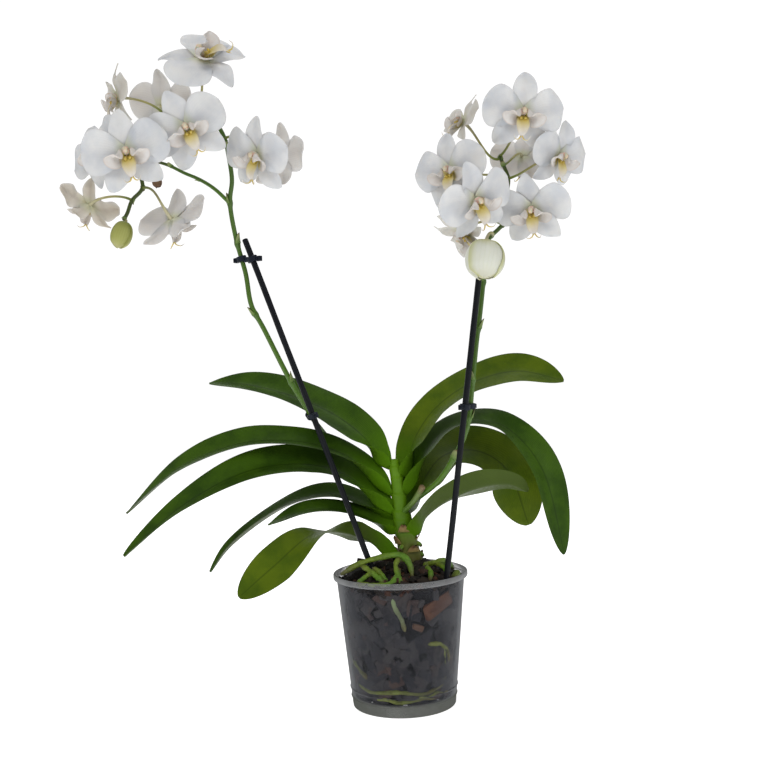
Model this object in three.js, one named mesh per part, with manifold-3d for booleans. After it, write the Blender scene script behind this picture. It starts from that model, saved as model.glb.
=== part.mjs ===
// A white moth orchid in a clear nursery pot: two flower spikes clipped to canes, leaves in two ranks.
// Millimetres, +Z up, origin at the middle of the pot's underside, where the pot stands.
import * as THREE from "three";
import { mergeVertices } from "three/addons/utils/BufferGeometryUtils.js";
import Module from "manifold-3d";

const wasm = await Module();
wasm.setup();

// ---------------------------------------------------------------- driving dimensions
const FIT = 0.3; // clearance left between two pieces that touch
const ROUND = 32; // facets round the pot and the bark

const POT = {
  height: 118,
  rimRadius: 60,
  baseRadius: 46,
  wall: 1.2,
  lipWidth: 2.4,
  lipHeight: 4.8,
  floorHeight: 9, // the floor stands this far up inside the foot skirt
  padRadius: 10, // flat middle of the dished floor, which reaches the ground
  slots: 8,
  slotLength: 13,
  slotWidth: 4,
};
const BARK = {
  freeboard: 8, // rim to bark, at the wall
  mound: 16, // how far the bark rises from the wall to the stem
  moundShare: 0.35, // radius of the mound's top, as a share of the bark's
};
const STEM = { foot: 12, height: 92, radius: 9.5, topRadius: 5, depth: 0.72 };
const CANE = { radius: 2.7, buried: 76, tipLength: 9 };
const SPIKE = { radius: 2.6, tipRadius: 1.7, branchRadius: 1.5 };
const CLIP = { height: 5, wall: 1.9, tab: 7.5, tabWidth: 3 };
const LEAF = { thickness: 2.6, widthScale: 1 };
const FLOWER = { span: 70, petalThickness: 1.3, pedicelRadius: 1.2, hub: 4.6, tolerance: 0.2 };
const ROOT = { radius: 2.4 };

const MOUND_TOP = POT.height - BARK.freeboard + BARK.mound;
const BARK_RADIUS_TOP = radiusAt(POT.height - BARK.freeboard) - POT.wall - FIT;

// ---------------------------------------------------------------- small helpers
const v = (x, y, z) => new THREE.Vector3(x, y, z);
const deg = THREE.MathUtils.degToRad;
const lerp = THREE.MathUtils.lerp;

// Outer radius of the pot's wall at height z.
function radiusAt(z) {
  return POT.baseRadius + ((POT.rimRadius - POT.lipWidth - POT.baseRadius) * z) / POT.height;
}

function curveThrough(points) {
  return new THREE.CatmullRomCurve3(
    points.map((p) => v(...p)),
    false,
    "catmullrom",
    0.5,
  );
}

// A point on a curve, counted in control points: 3.5 lies between the fourth and the fifth.
function pointOn(curve, index) {
  return curve.getPoint(index / (curve.points.length - 1));
}

// A closed solid skinned over rings with equal numbers of points; each end closes on its ring's middle.
// On a thin blade the second half of each ring is the underside, split the same way as the top above it.
function loft(rings, isBlade = false) {
  const n = rings[0].length;
  const middle = (ring) => ring.reduce((sum, p) => sum.add(p), v(0, 0, 0)).divideScalar(n);
  const points = [...rings.flat(), middle(rings[0]), middle(rings.at(-1))];
  const faces = [];
  for (let i = 0; i + 1 < rings.length; i++)
    for (let j = 0; j < n; j++) {
      const [a, b] = [i * n + j, i * n + ((j + 1) % n)];
      if (isBlade && j >= n / 2) faces.push(a, b, a + n, b, b + n, a + n);
      else faces.push(a, b, b + n, a, b + n, a + n);
    }
  const last = (rings.length - 1) * n;
  for (let j = 0; j < n; j++) {
    const k = (j + 1) % n;
    faces.push(points.length - 2, k, j, points.length - 1, last + j, last + k);
  }
  const geometry = new THREE.BufferGeometry().setFromPoints(points);
  geometry.setIndex(faces);
  return outward(geometry);
}

// Turns a closed geometry's faces outwards, whichever way its rings ran.
function outward(geometry) {
  const p = geometry.getAttribute("position");
  const index = geometry.index.array;
  const [a, b, c] = [v(0, 0, 0), v(0, 0, 0), v(0, 0, 0)];
  let volume = 0;
  for (let i = 0; i < index.length; i += 3) {
    a.fromBufferAttribute(p, index[i]);
    b.fromBufferAttribute(p, index[i + 1]);
    c.fromBufferAttribute(p, index[i + 2]);
    volume += a.dot(b.cross(c));
  }
  if (volume < 0)
    for (let i = 0; i < index.length; i += 3)
      [index[i + 1], index[i + 2]] = [index[i + 2], index[i + 1]];
  return geometry;
}

// A round bar along a curve; radius is a number or a function of the share of the way along.
// grow makes it that much larger all round and at each end, as a cutter that leaves room for it.
function rod(curve, radius, sides = 8, steps = 12, grow = 0) {
  const frames = curve.computeFrenetFrames(steps, false);
  const radiusOf = typeof radius === "function" ? radius : () => radius;
  const rings = [];
  for (let i = 0; i <= steps; i++) {
    const middle = curve.getPointAt(i / steps);
    if (i === 0) middle.addScaledVector(frames.tangents[0], -grow);
    if (i === steps) middle.addScaledVector(frames.tangents[steps], grow);
    const r = radiusOf(i / steps) + grow;
    rings.push(
      Array.from({ length: sides }, (_, j) => {
        const angle = (2 * Math.PI * j) / sides;
        return middle
          .clone()
          .addScaledVector(frames.normals[i], r * Math.cos(angle))
          .addScaledVector(frames.binormals[i], r * Math.sin(angle));
      }),
    );
  }
  return loft(rings);
}

// ---------------------------------------------------------------- booleans
function solid(geometry, matrix) {
  const g = new THREE.BufferGeometry();
  g.setAttribute("position", geometry.getAttribute("position").clone());
  if (geometry.index) g.setIndex(geometry.index.clone());
  if (matrix) g.applyMatrix4(matrix);
  const merged = mergeVertices(g, 1e-4);
  return new wasm.Manifold(
    new wasm.Mesh({
      numProp: 3,
      vertProperties: merged.getAttribute("position").array,
      triVerts: new Uint32Array(merged.index.array),
    }),
  );
}

function geometryOf(made) {
  const { numProp, vertProperties, triVerts, numVert } = made.getMesh();
  const points = [];
  for (let i = 0; i < numVert; i++)
    points.push(v(...vertProperties.subarray(i * numProp, i * numProp + 3)));
  return new THREE.BufferGeometry().setFromPoints(points).setIndex([...triVerts]);
}

const less = (made, ...cutters) => cutters.reduce((a, b) => a.subtract(b), made);

// The largest shell of a solid: drops slivers a cut has parted, and fills hollows inside it.
function largest(made) {
  return made.decompose().sort((a, b) => b.volume() - a.volume())[0];
}

// ---------------------------------------------------------------- the scene graph
const COLOURS = {
  clear_plastic: [0xb9bfc4, 0.25],
  bark: [0x2b201a, 0.95],
  leaf: [0x35601c, 0.4],
  stem: [0x4f8a22, 0.5],
  spike: [0x3f7a1e, 0.5],
  root: [0x7fa234, 0.6],
  cane: [0x14161a, 0.45],
  clip: [0x1a2230, 0.4],
  petal: [0xf2f2ee, 0.6],
  bud: [0xc9cf7a, 0.5],
  dry: [0x8a6a4a, 0.9],
};

function material(slot) {
  const [color, roughness] = COLOURS[slot];
  return new THREE.MeshStandardMaterial({ name: slot, color, roughness, metalness: 0 });
}

const orchid = new THREE.Group();
const plant = new THREE.Group(); // what grows or stands in the bark, measured from the mound's top
plant.position.z = MOUND_TOP;
orchid.add(plant);

function addNode(group, name, slot, geometry) {
  const mesh = new THREE.Mesh(geometry, material(slot));
  mesh.name = name;
  group.add(mesh);
  return mesh;
}

// ---------------------------------------------------------------- canes
// Foot and top of each cane, measured from the mound's top. The foot is where it enters the bark.
const CANES = {
  left: { foot: [-22, -19, -10], top: [-127, -10, 292] },
  right: { foot: [40, -26, -10], top: [80, -34, 278] },
};

function caneLine({ foot, top }) {
  const up = v(...top).sub(v(...foot)).normalize();
  const end = v(...foot).addScaledVector(up, -CANE.buried);
  return new THREE.LineCurve3(end, v(...top));
}

function cane(spec, grow = 0) {
  const line = caneLine(spec);
  const length = line.getLength();
  const sideways = line.getTangent(0).cross(v(0, 1, 0)).normalize();
  const other = line.getTangent(0).cross(sideways);
  const stations = [
    [-grow, 0.3],
    [CANE.tipLength, 1],
    [length - 1, 1],
    [length + grow, 0.6],
  ];
  const rings = stations.map(([at, share]) =>
    Array.from({ length: 12 }, (_, j) => {
      const a = (2 * Math.PI * j) / 12;
      const r = CANE.radius * share + grow;
      return line
        .getPoint(0)
        .addScaledVector(line.getTangent(0), at)
        .addScaledVector(sideways, r * Math.cos(a))
        .addScaledVector(other, r * Math.sin(a));
    }),
  );
  return loft(rings);
}

for (const [side, spec] of Object.entries(CANES)) addNode(plant, `cane_${side}`, "cane", cane(spec));

// ---------------------------------------------------------------- stem
const STEM_CURVE = curveThrough([
  [12, 4, -STEM.foot],
  [8, 4, 12],
  [2, 3, STEM.height * 0.55],
  [-2, 3, STEM.height],
]);

// An oval bar, thinner from front to back than from side to side.
function stem(grow = 0) {
  const rings = [];
  const steps = 8;
  for (let i = 0; i <= steps; i++) {
    const t = i / steps;
    const middle = STEM_CURVE.getPointAt(t);
    const swell = 1 + 0.22 * Math.sin(Math.PI * Math.min(1, t * 1.6));
    const r = lerp(STEM.radius, STEM.topRadius, t) * swell + grow;
    rings.push(
      Array.from({ length: 12 }, (_, j) => {
        const a = (2 * Math.PI * j) / 12;
        const z = middle.z + (i === 0 ? -grow : i === steps ? grow : 0);
        return v(middle.x + r * Math.cos(a), middle.y + r * STEM.depth * Math.sin(a), z);
      }),
    );
  }
  return loft(rings);
}

addNode(plant, "stem", "stem", stem());
const stemRoom = solid(stem(FIT));

// ---------------------------------------------------------------- leaves
// side: -1 left, 1 right. spine: the midrib, from inside the stem to the tip. half: greatest half width.
// wide: share of the way along where it is widest. blunt: above 2 rounds the tip.
// fold: how far each half rises from the midrib. bank: how far the face tips to the front, base to tip.
const LEAVES = {
  leaf_left_1: {
    side: -1, half: 22, wide: 0.55, blunt: 1.9, fold: 18, bank: [10, 30, 30, 24],
    spine: [[-5, 4, 84], [-22, 6, 108], [-52, 24, 130], [-90, 39, 148], [-134, 48, 161], [-174, 56, 165]],
  },
  leaf_left_2: {
    side: -1, half: 20, wide: 0.5, blunt: 1.7, fold: 18, bank: [10, 24, 28, 24],
    spine: [
      [-4, 3, 60], [-24, 3, 84], [-52, 4, 101], [-92, 8, 110],
      [-141, 12, 109], [-197, 20, 89], [-250, 26, 48],
    ],
  },
  leaf_left_3: {
    side: -1, half: 22, wide: 0.4, blunt: 1.7, fold: 18, bank: [10, 34, 28, 24],
    spine: [
      [-3, 3, 44], [-22, 4, 64], [-50, 8, 82], [-90, 2, 90],
      [-138, -8, 84], [-190, -20, 58], [-240, -30, 18],
    ],
  },
  leaf_left_4: {
    side: -1, half: 15, wide: 0.4, blunt: 1.6, fold: 20, bank: [10, 22, 20, 18],
    spine: [
      [0, 8, 36], [-26, 18, 50], [-56, 26, 59], [-88, 32, 55],
      [-120, 38, 40], [-157, 42, 13], [-178, 44, -12],
    ],
  },
  leaf_left_5: {
    side: -1, half: 15, wide: 0.45, blunt: 1.7, fold: 18, bank: [6, 20, 24],
    spine: [[0, 2, 27], [-26, 6, 39], [-56, 8, 47], [-88, 8, 46], [-118, 8, 36]],
  },
  leaf_left_6: {
    side: -1, half: 18, wide: 0.76, blunt: 1.9, fold: 8, bank: [-16, -40, 4, 52, 60],
    spine: [[-2, 0, 8], [-22, 1, 20], [-50, -6, 30], [-78, -26, 29], [-108, -44, 8], [-138, -54, -16]],
  },
  leaf_right_1: {
    side: 1, half: 21, wide: 0.68, blunt: 2.8, fold: 14, bank: [10, 26, 38, 40],
    spine: [[3, 4, 74], [13, 5, 104], [36, 12, 134], [70, 18, 156], [112, 16, 166], [154, 10, 156]],
  },
  leaf_right_2: {
    side: 1, half: 20, wide: 0.6, blunt: 1.9, fold: 16, bank: [8, 16, 40, 60],
    spine: [
      [4, 4, 58], [18, 5, 88], [42, 10, 113], [70, 12, 122],
      [102, 12, 114], [132, 8, 74], [148, 4, 0],
    ],
  },
  leaf_right_3: {
    side: 1, half: 28, wide: 0.68, blunt: 2.3, fold: 10, bank: [8, 20, 62, 76],
    spine: [[7, 8, 42], [20, 18, 66], [44, 33, 90], [78, 43, 92], [106, 46, 70], [122, 42, 22]],
  },
  leaf_right_4: {
    side: 1, half: 19, wide: 0.5, blunt: 2.2, fold: 14, bank: [0, -30, -44, -50],
    spine: [[7, -1, 24], [24, -1, 42], [50, -2, 57], [78, 0, 66], [102, 4, 66], [118, 8, 58]],
  },
};

const CLASP = 0.38; // width where the leaf clasps the stem, as a share of its widest

// Share of the greatest width at t along a blade that is widest at `wide`.
function breadth(t, wide, blunt, base) {
  if (t < wide) return base + (1 - base) * Math.sin(((t / wide) * Math.PI) / 2);
  return Math.pow(Math.max(0, 1 - Math.pow((t - wide) / (1 - wide), blunt)), 0.62);
}

// The value at t along a list of values evenly spaced from 0 to 1.
function valueAlong(values, t) {
  const at = t * (values.length - 1);
  const i = Math.min(Math.floor(at), values.length - 2);
  return lerp(values[i], values[i + 1], at - i);
}

// A blade folded along its midrib: two rows of quads each side of it, above and below.
function blade(curve, { side: hand, half, wide, blunt, fold, bank, thickness, base, steps = 10, rows = 2 }) {
  const rings = [];
  for (let i = 0; i <= steps; i++) {
    const t = Math.min(i / steps, 0.985);
    const middle = curve.getPointAt(t);
    const along = curve.getTangentAt(t);
    const side = along.clone().cross(v(0, 0, 1)).normalize();
    side.applyAxisAngle(along, deg(hand * valueAlong(bank, t)));
    const up = side.clone().cross(along);
    const w = half * breadth(t, wide, blunt, base);
    const at = (s, lift) =>
      middle
        .clone()
        .addScaledVector(side, s * w * Math.cos(deg(fold)))
        .addScaledVector(up, Math.abs(s) * w * Math.sin(deg(fold)) + lift);
    const thick = (s) => (thickness / 2) * (1 - 0.999 * s * s);
    const ring = [];
    for (let j = -rows; j <= rows; j++) ring.push(at(j / rows, thick(j / rows)));
    for (let j = rows - 1; j > -rows; j--) ring.push(at(j / rows, -thick(j / rows)));
    rings.push(ring);
  }
  return loft(rings, true);
}

// ---------------------------------------------------------------- flower spikes
// Control points of each spike from its leaf axil to its drooping end, and of the left one's branch.
const SPIKES = {
  left: [
    [-10, 10, 52], [-28, 20, 68], [-50, 27, 90], [-63, 27, 112], [-72, 12, 127], [-79, -3, 142],
    [-93, -5, 168], [-113, -4, 211], [-124, -4, 234], [-128, -4, 262], [-135, -5, 292],
    [-139, -8, 323], [-136, -12, 344], [-138, -14, 365], [-141, -12, 380], [-148, -8, 393],
    [-163, -2, 406], [-184, 2, 410], [-202, 2, 400], [-212, -4, 379], [-217, -10, 357],
    [-214, -16, 339], [-223, -18, 328], [-227, -20, 317], [-230, -22, 311],
  ],
  right: [
    [16, -4, 56], [36, -10, 72], [50, -14, 92], [60, -18, 112], [65, -20, 130], [68, -21, 154],
    [73, -20, 191], [78, -18, 222], [82, -15, 250], [84, -12, 269], [88, -10, 284], [97, -9, 293],
    [105, -10, 301], [108, -10, 312], [106, -10, 325], [107, -10, 337], [103, -10, 349],
    [100, -10, 357],
  ],
};
const BRANCH = [
  [-139, -8, 324], [-152, -8, 337], [-165, -6, 346], [-179, -2, 353], [-193, 4, 361], [-205, 8, 366],
];

const spikeCurves = {
  left: curveThrough(SPIKES.left),
  right: curveThrough(SPIKES.right),
  branch: curveThrough(BRANCH),
};
const spikeRadius = (t) => lerp(SPIKE.radius, SPIKE.tipRadius, t);

function spike(side, grow = 0) {
  const steps = Math.round((SPIKES[side].length - 1) * 1.6);
  const main = solid(rod(spikeCurves[side], spikeRadius, 7, steps, grow));
  if (side === "right") return main;
  return main.add(solid(rod(spikeCurves.branch, SPIKE.branchRadius, 6, 8, grow)));
}

for (const side of Object.keys(SPIKES)) {
  const seated = less(spike(side), stemRoom);
  addNode(plant, `flower_spike_${side}`, "spike", geometryOf(largest(seated)));
}

const spikeRooms = {
  left: spike("left", FIT),
  right: spike("right", FIT),
};
spikeRooms.branch = spikeRooms.left;

// The stub of an older spike, cut off short, in an axil on the right.
const stubCurve = curveThrough([[4, 1, 44], [14, -9, 55], [22, -14, 68]]);
const stub = (grow = 0) => solid(rod(stubCurve, SPIKE.radius, 7, 4, grow));
addNode(plant, "old_spike_stub", "spike", geometryOf(largest(less(stub(), stemRoom, spikeRooms.right))));

// Leaves clasp the stem, notched where a spike leaves the axil.
for (const [name, spec] of Object.entries(LEAVES)) {
  const shape = blade(curveThrough(spec.spine), {
    ...spec,
    half: spec.half * LEAF.widthScale,
    thickness: LEAF.thickness,
    base: CLASP,
  });
  const seated = less(solid(shape), stemRoom, spikeRooms.left, spikeRooms.right, stub(FIT));
  addNode(plant, name, "leaf", geometryOf(largest(seated)));
}

// ---------------------------------------------------------------- clips
// Each clip grips a cane at a share of its length, and the spike beside it.
const CLIPS = {
  clip_left_lower: { side: "left", at: 134 },
  clip_left_upper: { side: "left", at: 274 },
  clip_right_lower: { side: "right", at: 138 },
  clip_right_upper: { side: "right", at: 266 },
};

// The point where a curve passes a height, found by halving.
function atHeight(curve, z) {
  let [low, high] = [0, 1];
  for (let i = 0; i < 30; i++) {
    const middle = (low + high) / 2;
    if (curve.getPoint(middle).z < z) low = middle;
    else high = middle;
  }
  return curve.getPoint(low);
}

function clip({ side, at }) {
  const onCane = atHeight(caneLine(CANES[side]), at);
  const onSpike = atHeight(spikeCurves[side], at);
  const across = onSpike.clone().sub(onCane).setZ(0);
  const gap = across.length();
  across.normalize();
  const eyes = [
    [0, CANE.radius + FIT + CLIP.wall],
    [gap, SPIKE.radius + FIT + CLIP.wall],
  ];
  const bar = new THREE.Shape();
  bar.moveTo(-CLIP.tab - CANE.radius, -CLIP.tabWidth / 2);
  bar.lineTo(gap + CLIP.tab, -CLIP.tabWidth / 2);
  bar.lineTo(gap + CLIP.tab, CLIP.tabWidth / 2);
  bar.lineTo(-CLIP.tab - CANE.radius, CLIP.tabWidth / 2);
  bar.closePath();
  const place = new THREE.Matrix4().makeBasis(across, v(-across.y, across.x, 0), v(0, 0, 1));
  place.setPosition(onCane.x, onCane.y, at - CLIP.height / 2);
  const plate = new THREE.ExtrudeGeometry(bar, { depth: CLIP.height, bevelEnabled: false });
  let made = solid(plate, place);
  for (const [x, r] of eyes) {
    const eye = new THREE.CylinderGeometry(r, r, CLIP.height, 12);
    eye.rotateX(Math.PI / 2).translate(x, 0, CLIP.height / 2);
    made = made.add(solid(eye, place));
  }
  return largest(less(made, solid(cane(CANES[side], FIT)), spikeRooms[side]));
}

for (const [name, spec] of Object.entries(CLIPS)) addNode(plant, name, "clip", geometryOf(clip(spec)));

// ---------------------------------------------------------------- flowers
// hub: middle of the flower. facing: the way it looks. roll: turn about that, in degrees.
// on: the curve that carries it, and where, in control points. size: share of FLOWER.span.
// open: how far sepals and petals lean back, in degrees.
const FLOWERS = {
  flower_left_1: {
    hub: [-154, -36, 443], facing: [0.1, -0.72, 0.68], roll: 74,
    on: ["left", 16], size: 1.16, open: 4,
  },
  flower_left_2: {
    hub: [-165, -62, 379], facing: [0.1, -0.97, -0.22], roll: 26,
    on: ["left", 15.5], size: 1.02, open: 4,
  },
  flower_left_3: {
    hub: [-213, -75, 358], facing: [0.16, -0.96, -0.2], roll: 12,
    on: ["left", 18.6], size: 1.04, open: 2,
  },
  flower_left_4: {
    hub: [-247, -28, 370], facing: [-0.5, -0.85, 0.15], roll: 40,
    on: ["left", 19], size: 0.95, open: 6,
  },
  flower_left_5: {
    hub: [-234, -8, 420], facing: [-0.88, -0.42, -0.1], roll: 0,
    on: ["left", 17.6], size: 0.9, open: 2,
  },
  flower_left_6: {
    hub: [-203, 26, 420], facing: [0.35, 0.88, 0.2], roll: 8,
    on: ["left", 17], size: 0.95, open: 4,
  },
  flower_left_7: {
    hub: [-109, -42, 358], facing: [-0.56, -0.76, -0.28], roll: -14,
    on: ["left", 14], size: 0.98, open: 2,
  },
  flower_left_8: {
    hub: [-97, 6, 366], facing: [0.55, 0.8, -0.05], roll: 12,
    on: ["left", 13.6], size: 0.88, open: 4,
  },
  flower_left_9: {
    hub: [-182, -54, 305], facing: [0.4, 0.66, -0.6], roll: -14,
    on: ["left", 21], size: 0.96, open: 4,
  },
  flower_left_10: {
    hub: [-257, -30, 323], facing: [-0.6, 0.5, -0.5], roll: 20,
    on: ["left", 22], size: 0.84, open: 6,
  },
  flower_right_1: {
    hub: [117, -44, 386], facing: [0, -0.97, -0.2], roll: -8,
    on: ["right", 17], size: 1, open: 4,
  },
  flower_right_2: {
    hub: [124, 22, 362], facing: [0.3, 0.82, -0.4], roll: 10,
    on: ["right", 16], size: 0.9, open: 2,
  },
  flower_right_3: {
    hub: [69, -8, 388], facing: [-0.8, -0.35, 0.45], roll: 0,
    on: ["right", 16.7], size: 0.84, open: -6,
  },
  flower_right_4: {
    hub: [55, -32, 341], facing: [-0.5, -0.85, -0.1], roll: 8,
    on: ["right", 15.4], size: 0.98, open: 4,
  },
  flower_right_5: {
    hub: [72, -68, 310], facing: [0.42, -0.82, -0.38], roll: 24,
    on: ["right", 13], size: 1, open: 2,
  },
  flower_right_6: {
    hub: [66, -20, 290], facing: [-0.5, -0.3, -0.8], roll: 60,
    on: ["right", 11.4], size: 0.94, open: -8,
  },
  flower_right_7: {
    hub: [149, -26, 352], facing: [0.5, -0.75, -0.35], roll: -6,
    on: ["right", 15], size: 0.9, open: 2,
  },
  flower_right_8: {
    hub: [123, -42, 305], facing: [-0.3, -0.82, -0.45], roll: 2,
    on: ["right", 13.3], size: 0.98, open: -6,
  },
};

// Blades of one flower in its own frame: +Z is the way it looks and +Y its top.
// angle is measured from +X; layer is how far in front of the hub's middle the blade starts.
const PETAL = { length: 35, half: 18, wide: 0.62, blunt: 2.6, base: 0.12 };
const SEPAL = { length: 34, half: 9.5, wide: 0.5, blunt: 2, base: 0.35 };
const TEPALS = [
  { angle: 90, layer: -1.4, ...SEPAL },
  { angle: -52, layer: -1.2, ...SEPAL },
  { angle: 232, layer: -1.2, ...SEPAL },
  { angle: 13, layer: 1, ...PETAL },
  { angle: 167, layer: 1, ...PETAL },
];
const LIP = [
  { from: [0, -3, 3], over: [0, -10, 9], to: [0, -19, 11], half: 6 },
  { from: [2, -3, 2], over: [8, -3, 6], to: [12, 0, 12], half: 6 },
  { from: [-2, -3, 2], over: [-8, -3, 6], to: [-12, 0, 12], half: 6 },
];

// A blade in a flower's frame, whose face looks along +Z.
function tepal(points, spec) {
  const flat = { side: 1, fold: 8, bank: [0, 0], thickness: FLOWER.petalThickness, rows: 1 };
  return solid(blade(curveThrough(points), { ...flat, ...spec }));
}

function flowerHead(scale, open) {
  const hub = new THREE.IcosahedronGeometry(FLOWER.hub, 0);
  const column = new THREE.CylinderGeometry(1.8, 2.6, 9, 5);
  column.rotateX(deg(72)).translate(0, 1.5, 5);
  const parts = [solid(hub), solid(column)];
  for (const t of TEPALS) {
    const out = v(Math.cos(deg(t.angle)), Math.sin(deg(t.angle)), 0);
    const at = (share, lift) => out.clone().multiplyScalar(t.length * share).setZ(t.layer + lift).toArray();
    const back = -t.length * Math.tan(deg(open));
    const points = [at(0.08, 0), at(0.35, 1.5 + back * 0.2), at(0.7, 2 + back * 0.5), at(1, back)];
    parts.push(tepal(points, { ...t, steps: 4 }));
  }
  for (const { from, over, to, half } of LIP)
    parts.push(tepal([from, over, to], { half, wide: 0.55, blunt: 2.4, base: 0.5, steps: 2 }));
  const size = new THREE.Matrix4().makeScale(scale, scale, scale);
  return parts.map((p) => p.transform(size.elements)).reduce((a, b) => a.add(b));
}

// The flower's own frame in the plant's.
function frameOf({ hub, facing, roll }) {
  const look = v(...facing).normalize();
  const right = v(0, 0, 1).cross(look).normalize();
  const up = look.clone().cross(right);
  const matrix = new THREE.Matrix4().makeBasis(right, up, look);
  matrix.multiply(new THREE.Matrix4().makeRotationZ(deg(roll)));
  return matrix.setPosition(...hub);
}

// The stalk from the back of a flower or bud into the middle of the spike, in the flower's frame.
function pedicel(frame, [side, index], back) {
  const on = pointOn(spikeCurves[side], index);
  const along = spikeCurves[side].getTangent(index / (spikeCurves[side].points.length - 1));
  const away = v(0, 0, 0).setFromMatrixPosition(frame).sub(on);
  const reach = away.length();
  away.addScaledVector(along, -away.dot(along)).normalize();
  const inverse = frame.clone().invert();
  const path = new THREE.CubicBezierCurve3(
    v(0, 0, -back),
    v(0, 0, -back - reach * 0.35),
    on.clone().addScaledVector(away, reach * 0.3).applyMatrix4(inverse),
    on.clone().applyMatrix4(inverse),
  );
  return solid(rod(path, FLOWER.pedicelRadius, 5, 6));
}

// Places a head and its stalk in the plant, trimmed where the stalk meets its spike.
function seatOnSpike(name, slot, frame, [side], head) {
  const placed = head.simplify(FLOWER.tolerance).transform(frame.elements);
  addNode(plant, name, slot, geometryOf(largest(less(placed, spikeRooms[side]))));
}

for (const [name, spec] of Object.entries(FLOWERS)) {
  const frame = frameOf(spec);
  const scale = (spec.size * FLOWER.span) / (2 * PETAL.length);
  seatOnSpike(name, "petal", frame, spec.on, flowerHead(scale, spec.open).add(pedicel(frame, spec.on, 0)));
}

// ---------------------------------------------------------------- buds
// The right bud hangs in front of the tab of the clip behind it.
const RIGHT_BUD = 16.5;
const rightBudY = -33.3 - CANE.radius - CLIP.tab - RIGHT_BUD;
const BUDS = {
  bud_left: {
    slot: "bud", hub: [-231, -28, 297], facing: [-0.3, -0.1, -1], roll: 0,
    on: ["left", 24], radius: 9.5, long: 12.5,
  },
  bud_right: {
    slot: "bud", hub: [79, rightBudY, 262], facing: [-0.1, -0.2, -1], roll: 0,
    on: ["right", 10.3], radius: RIGHT_BUD, long: 17,
  },
  bud_dry: {
    slot: "dry", hub: [-204, -2, 346], facing: [0.2, -0.2, -1], roll: 0,
    on: ["branch", 5], radius: 4, long: 5,
  },
};

for (const [name, spec] of Object.entries(BUDS)) {
  const frame = frameOf(spec);
  const egg = new THREE.SphereGeometry(spec.radius, 12, 8);
  egg.rotateX(Math.PI / 2).scale(1, 1, spec.long / spec.radius);
  seatOnSpike(name, spec.slot, frame, spec.on, solid(egg).add(pedicel(frame, spec.on, spec.long * 0.6)));
}

// ---------------------------------------------------------------- roots
// Aerial roots over the bark, each from the stem's foot or the bark to where it dives in again.
const ROOTS = {
  root_arch: [[-52, -18, -6], [-38, -24, 3], [-20, -27, 9], [0, -28, 11], [8, -32, 3], [10, -36, -10]],
  root_short: [[-24, -30, 1], [-17, -34, -4], [-12, -37, -12]],
  root_front: [[-40, -38, -11], [-26, -43, -11.5], [-10, -43, -11], [-3, -38, -5], [-1, -33, 0]],
  root_right: [[20, -8, -3], [30, -14, 1], [40, -10, 1], [48, 2, -8]],
  root_rim: [[45, -18, -15], [49, -12, -10], [51, -4, -11], [49, 4, -20]],
};

// Roots that run round the inside of the pot's wall, in grooves of the bark: [angle in degrees, height].
const WALL_ROOTS = {
  root_wall_1: [[-99, 105], [-97, 97], [-91, 86], [-88, 76]],
  root_wall_2: [[-66, 63], [-50, 61], [-38, 54], [-33, 42]],
  root_wall_3: [[-158, 24], [-130, 20], [-98, 22], [-68, 19], [-38, 24]],
  root_wall_4: [[-168, 46], [-150, 40], [-134, 31]],
  root_wall_5: [[52, 96], [78, 82], [108, 78], [132, 60]],
  root_wall_6: [[8, 34], [42, 26], [84, 30], [122, 22]],
};

// Radius at which a wall root's middle lies, so that it clears the wall.
const wallRootRadius = (z) => radiusAt(z) - POT.wall - FIT - ROOT.radius * 0.9;

const wallRootCurves = Object.fromEntries(
  Object.entries(WALL_ROOTS).map(([name, points]) => {
    const closer = []; // one extra point between each two keeps the curve round the wall
    for (let i = 0; i + 1 < points.length; i++)
      for (const s of [0, 0.5]) closer.push([0, 1].map((k) => lerp(points[i][k], points[i + 1][k], s)));
    closer.push(points.at(-1));
    const onWall = ([angle, z]) => {
      const r = wallRootRadius(z);
      return [r * Math.cos(deg(angle)), r * Math.sin(deg(angle)), z];
    };
    return [name, curveThrough(closer.map(onWall))];
  }),
);

// Tapers both ends of a root.
const rootRadius = (t) => ROOT.radius * Math.min(1, 0.45 + 5 * t, 0.45 + 5 * (1 - t));
const wallRoot = (curve, grow) => rod(curve, (t) => rootRadius(t) * 0.8, 6, 10, grow);

// ---------------------------------------------------------------- bark
// Height of the mound's top at radius r and angle a, with the lumps of the bark in it.
function moundHeight(r, a) {
  const share = r / BARK_RADIUS_TOP;
  const fall = Math.max(0, (share - BARK.moundShare) / (1 - BARK.moundShare));
  const lumps = Math.sin(3 * a + 5 * share) * Math.sin(7 * share) + 0.5 * Math.sin(7 * a - 9 * share);
  return MOUND_TOP - BARK.mound * Math.pow(fall, 1.2) + 0.9 * lumps * share;
}

function barkBody() {
  const ring = (radius, height) =>
    Array.from({ length: ROUND }, (_, j) => {
      const a = (2 * Math.PI * j) / ROUND;
      return v(radius * Math.cos(a), radius * Math.sin(a), typeof height === "function" ? height(a) : height);
    });
  const lift = POT.wall + FIT;
  const shelf = POT.floorHeight + lift;
  const rings = [
    ring(3, lift),
    ring(POT.padRadius, lift),
    ring(POT.baseRadius * 0.6, shelf),
    ring(radiusAt(shelf) - lift - 0.5, shelf),
  ];
  for (const z of [34, 60, 86, 102]) rings.push(ring(radiusAt(z) - lift, z));
  for (const share of [1, 0.86, 0.7, 0.54, 0.38, 0.2]) {
    const r = BARK_RADIUS_TOP * share;
    rings.push(ring(r, (a) => moundHeight(r, a)));
  }
  return solid(loft(rings));
}

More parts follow.
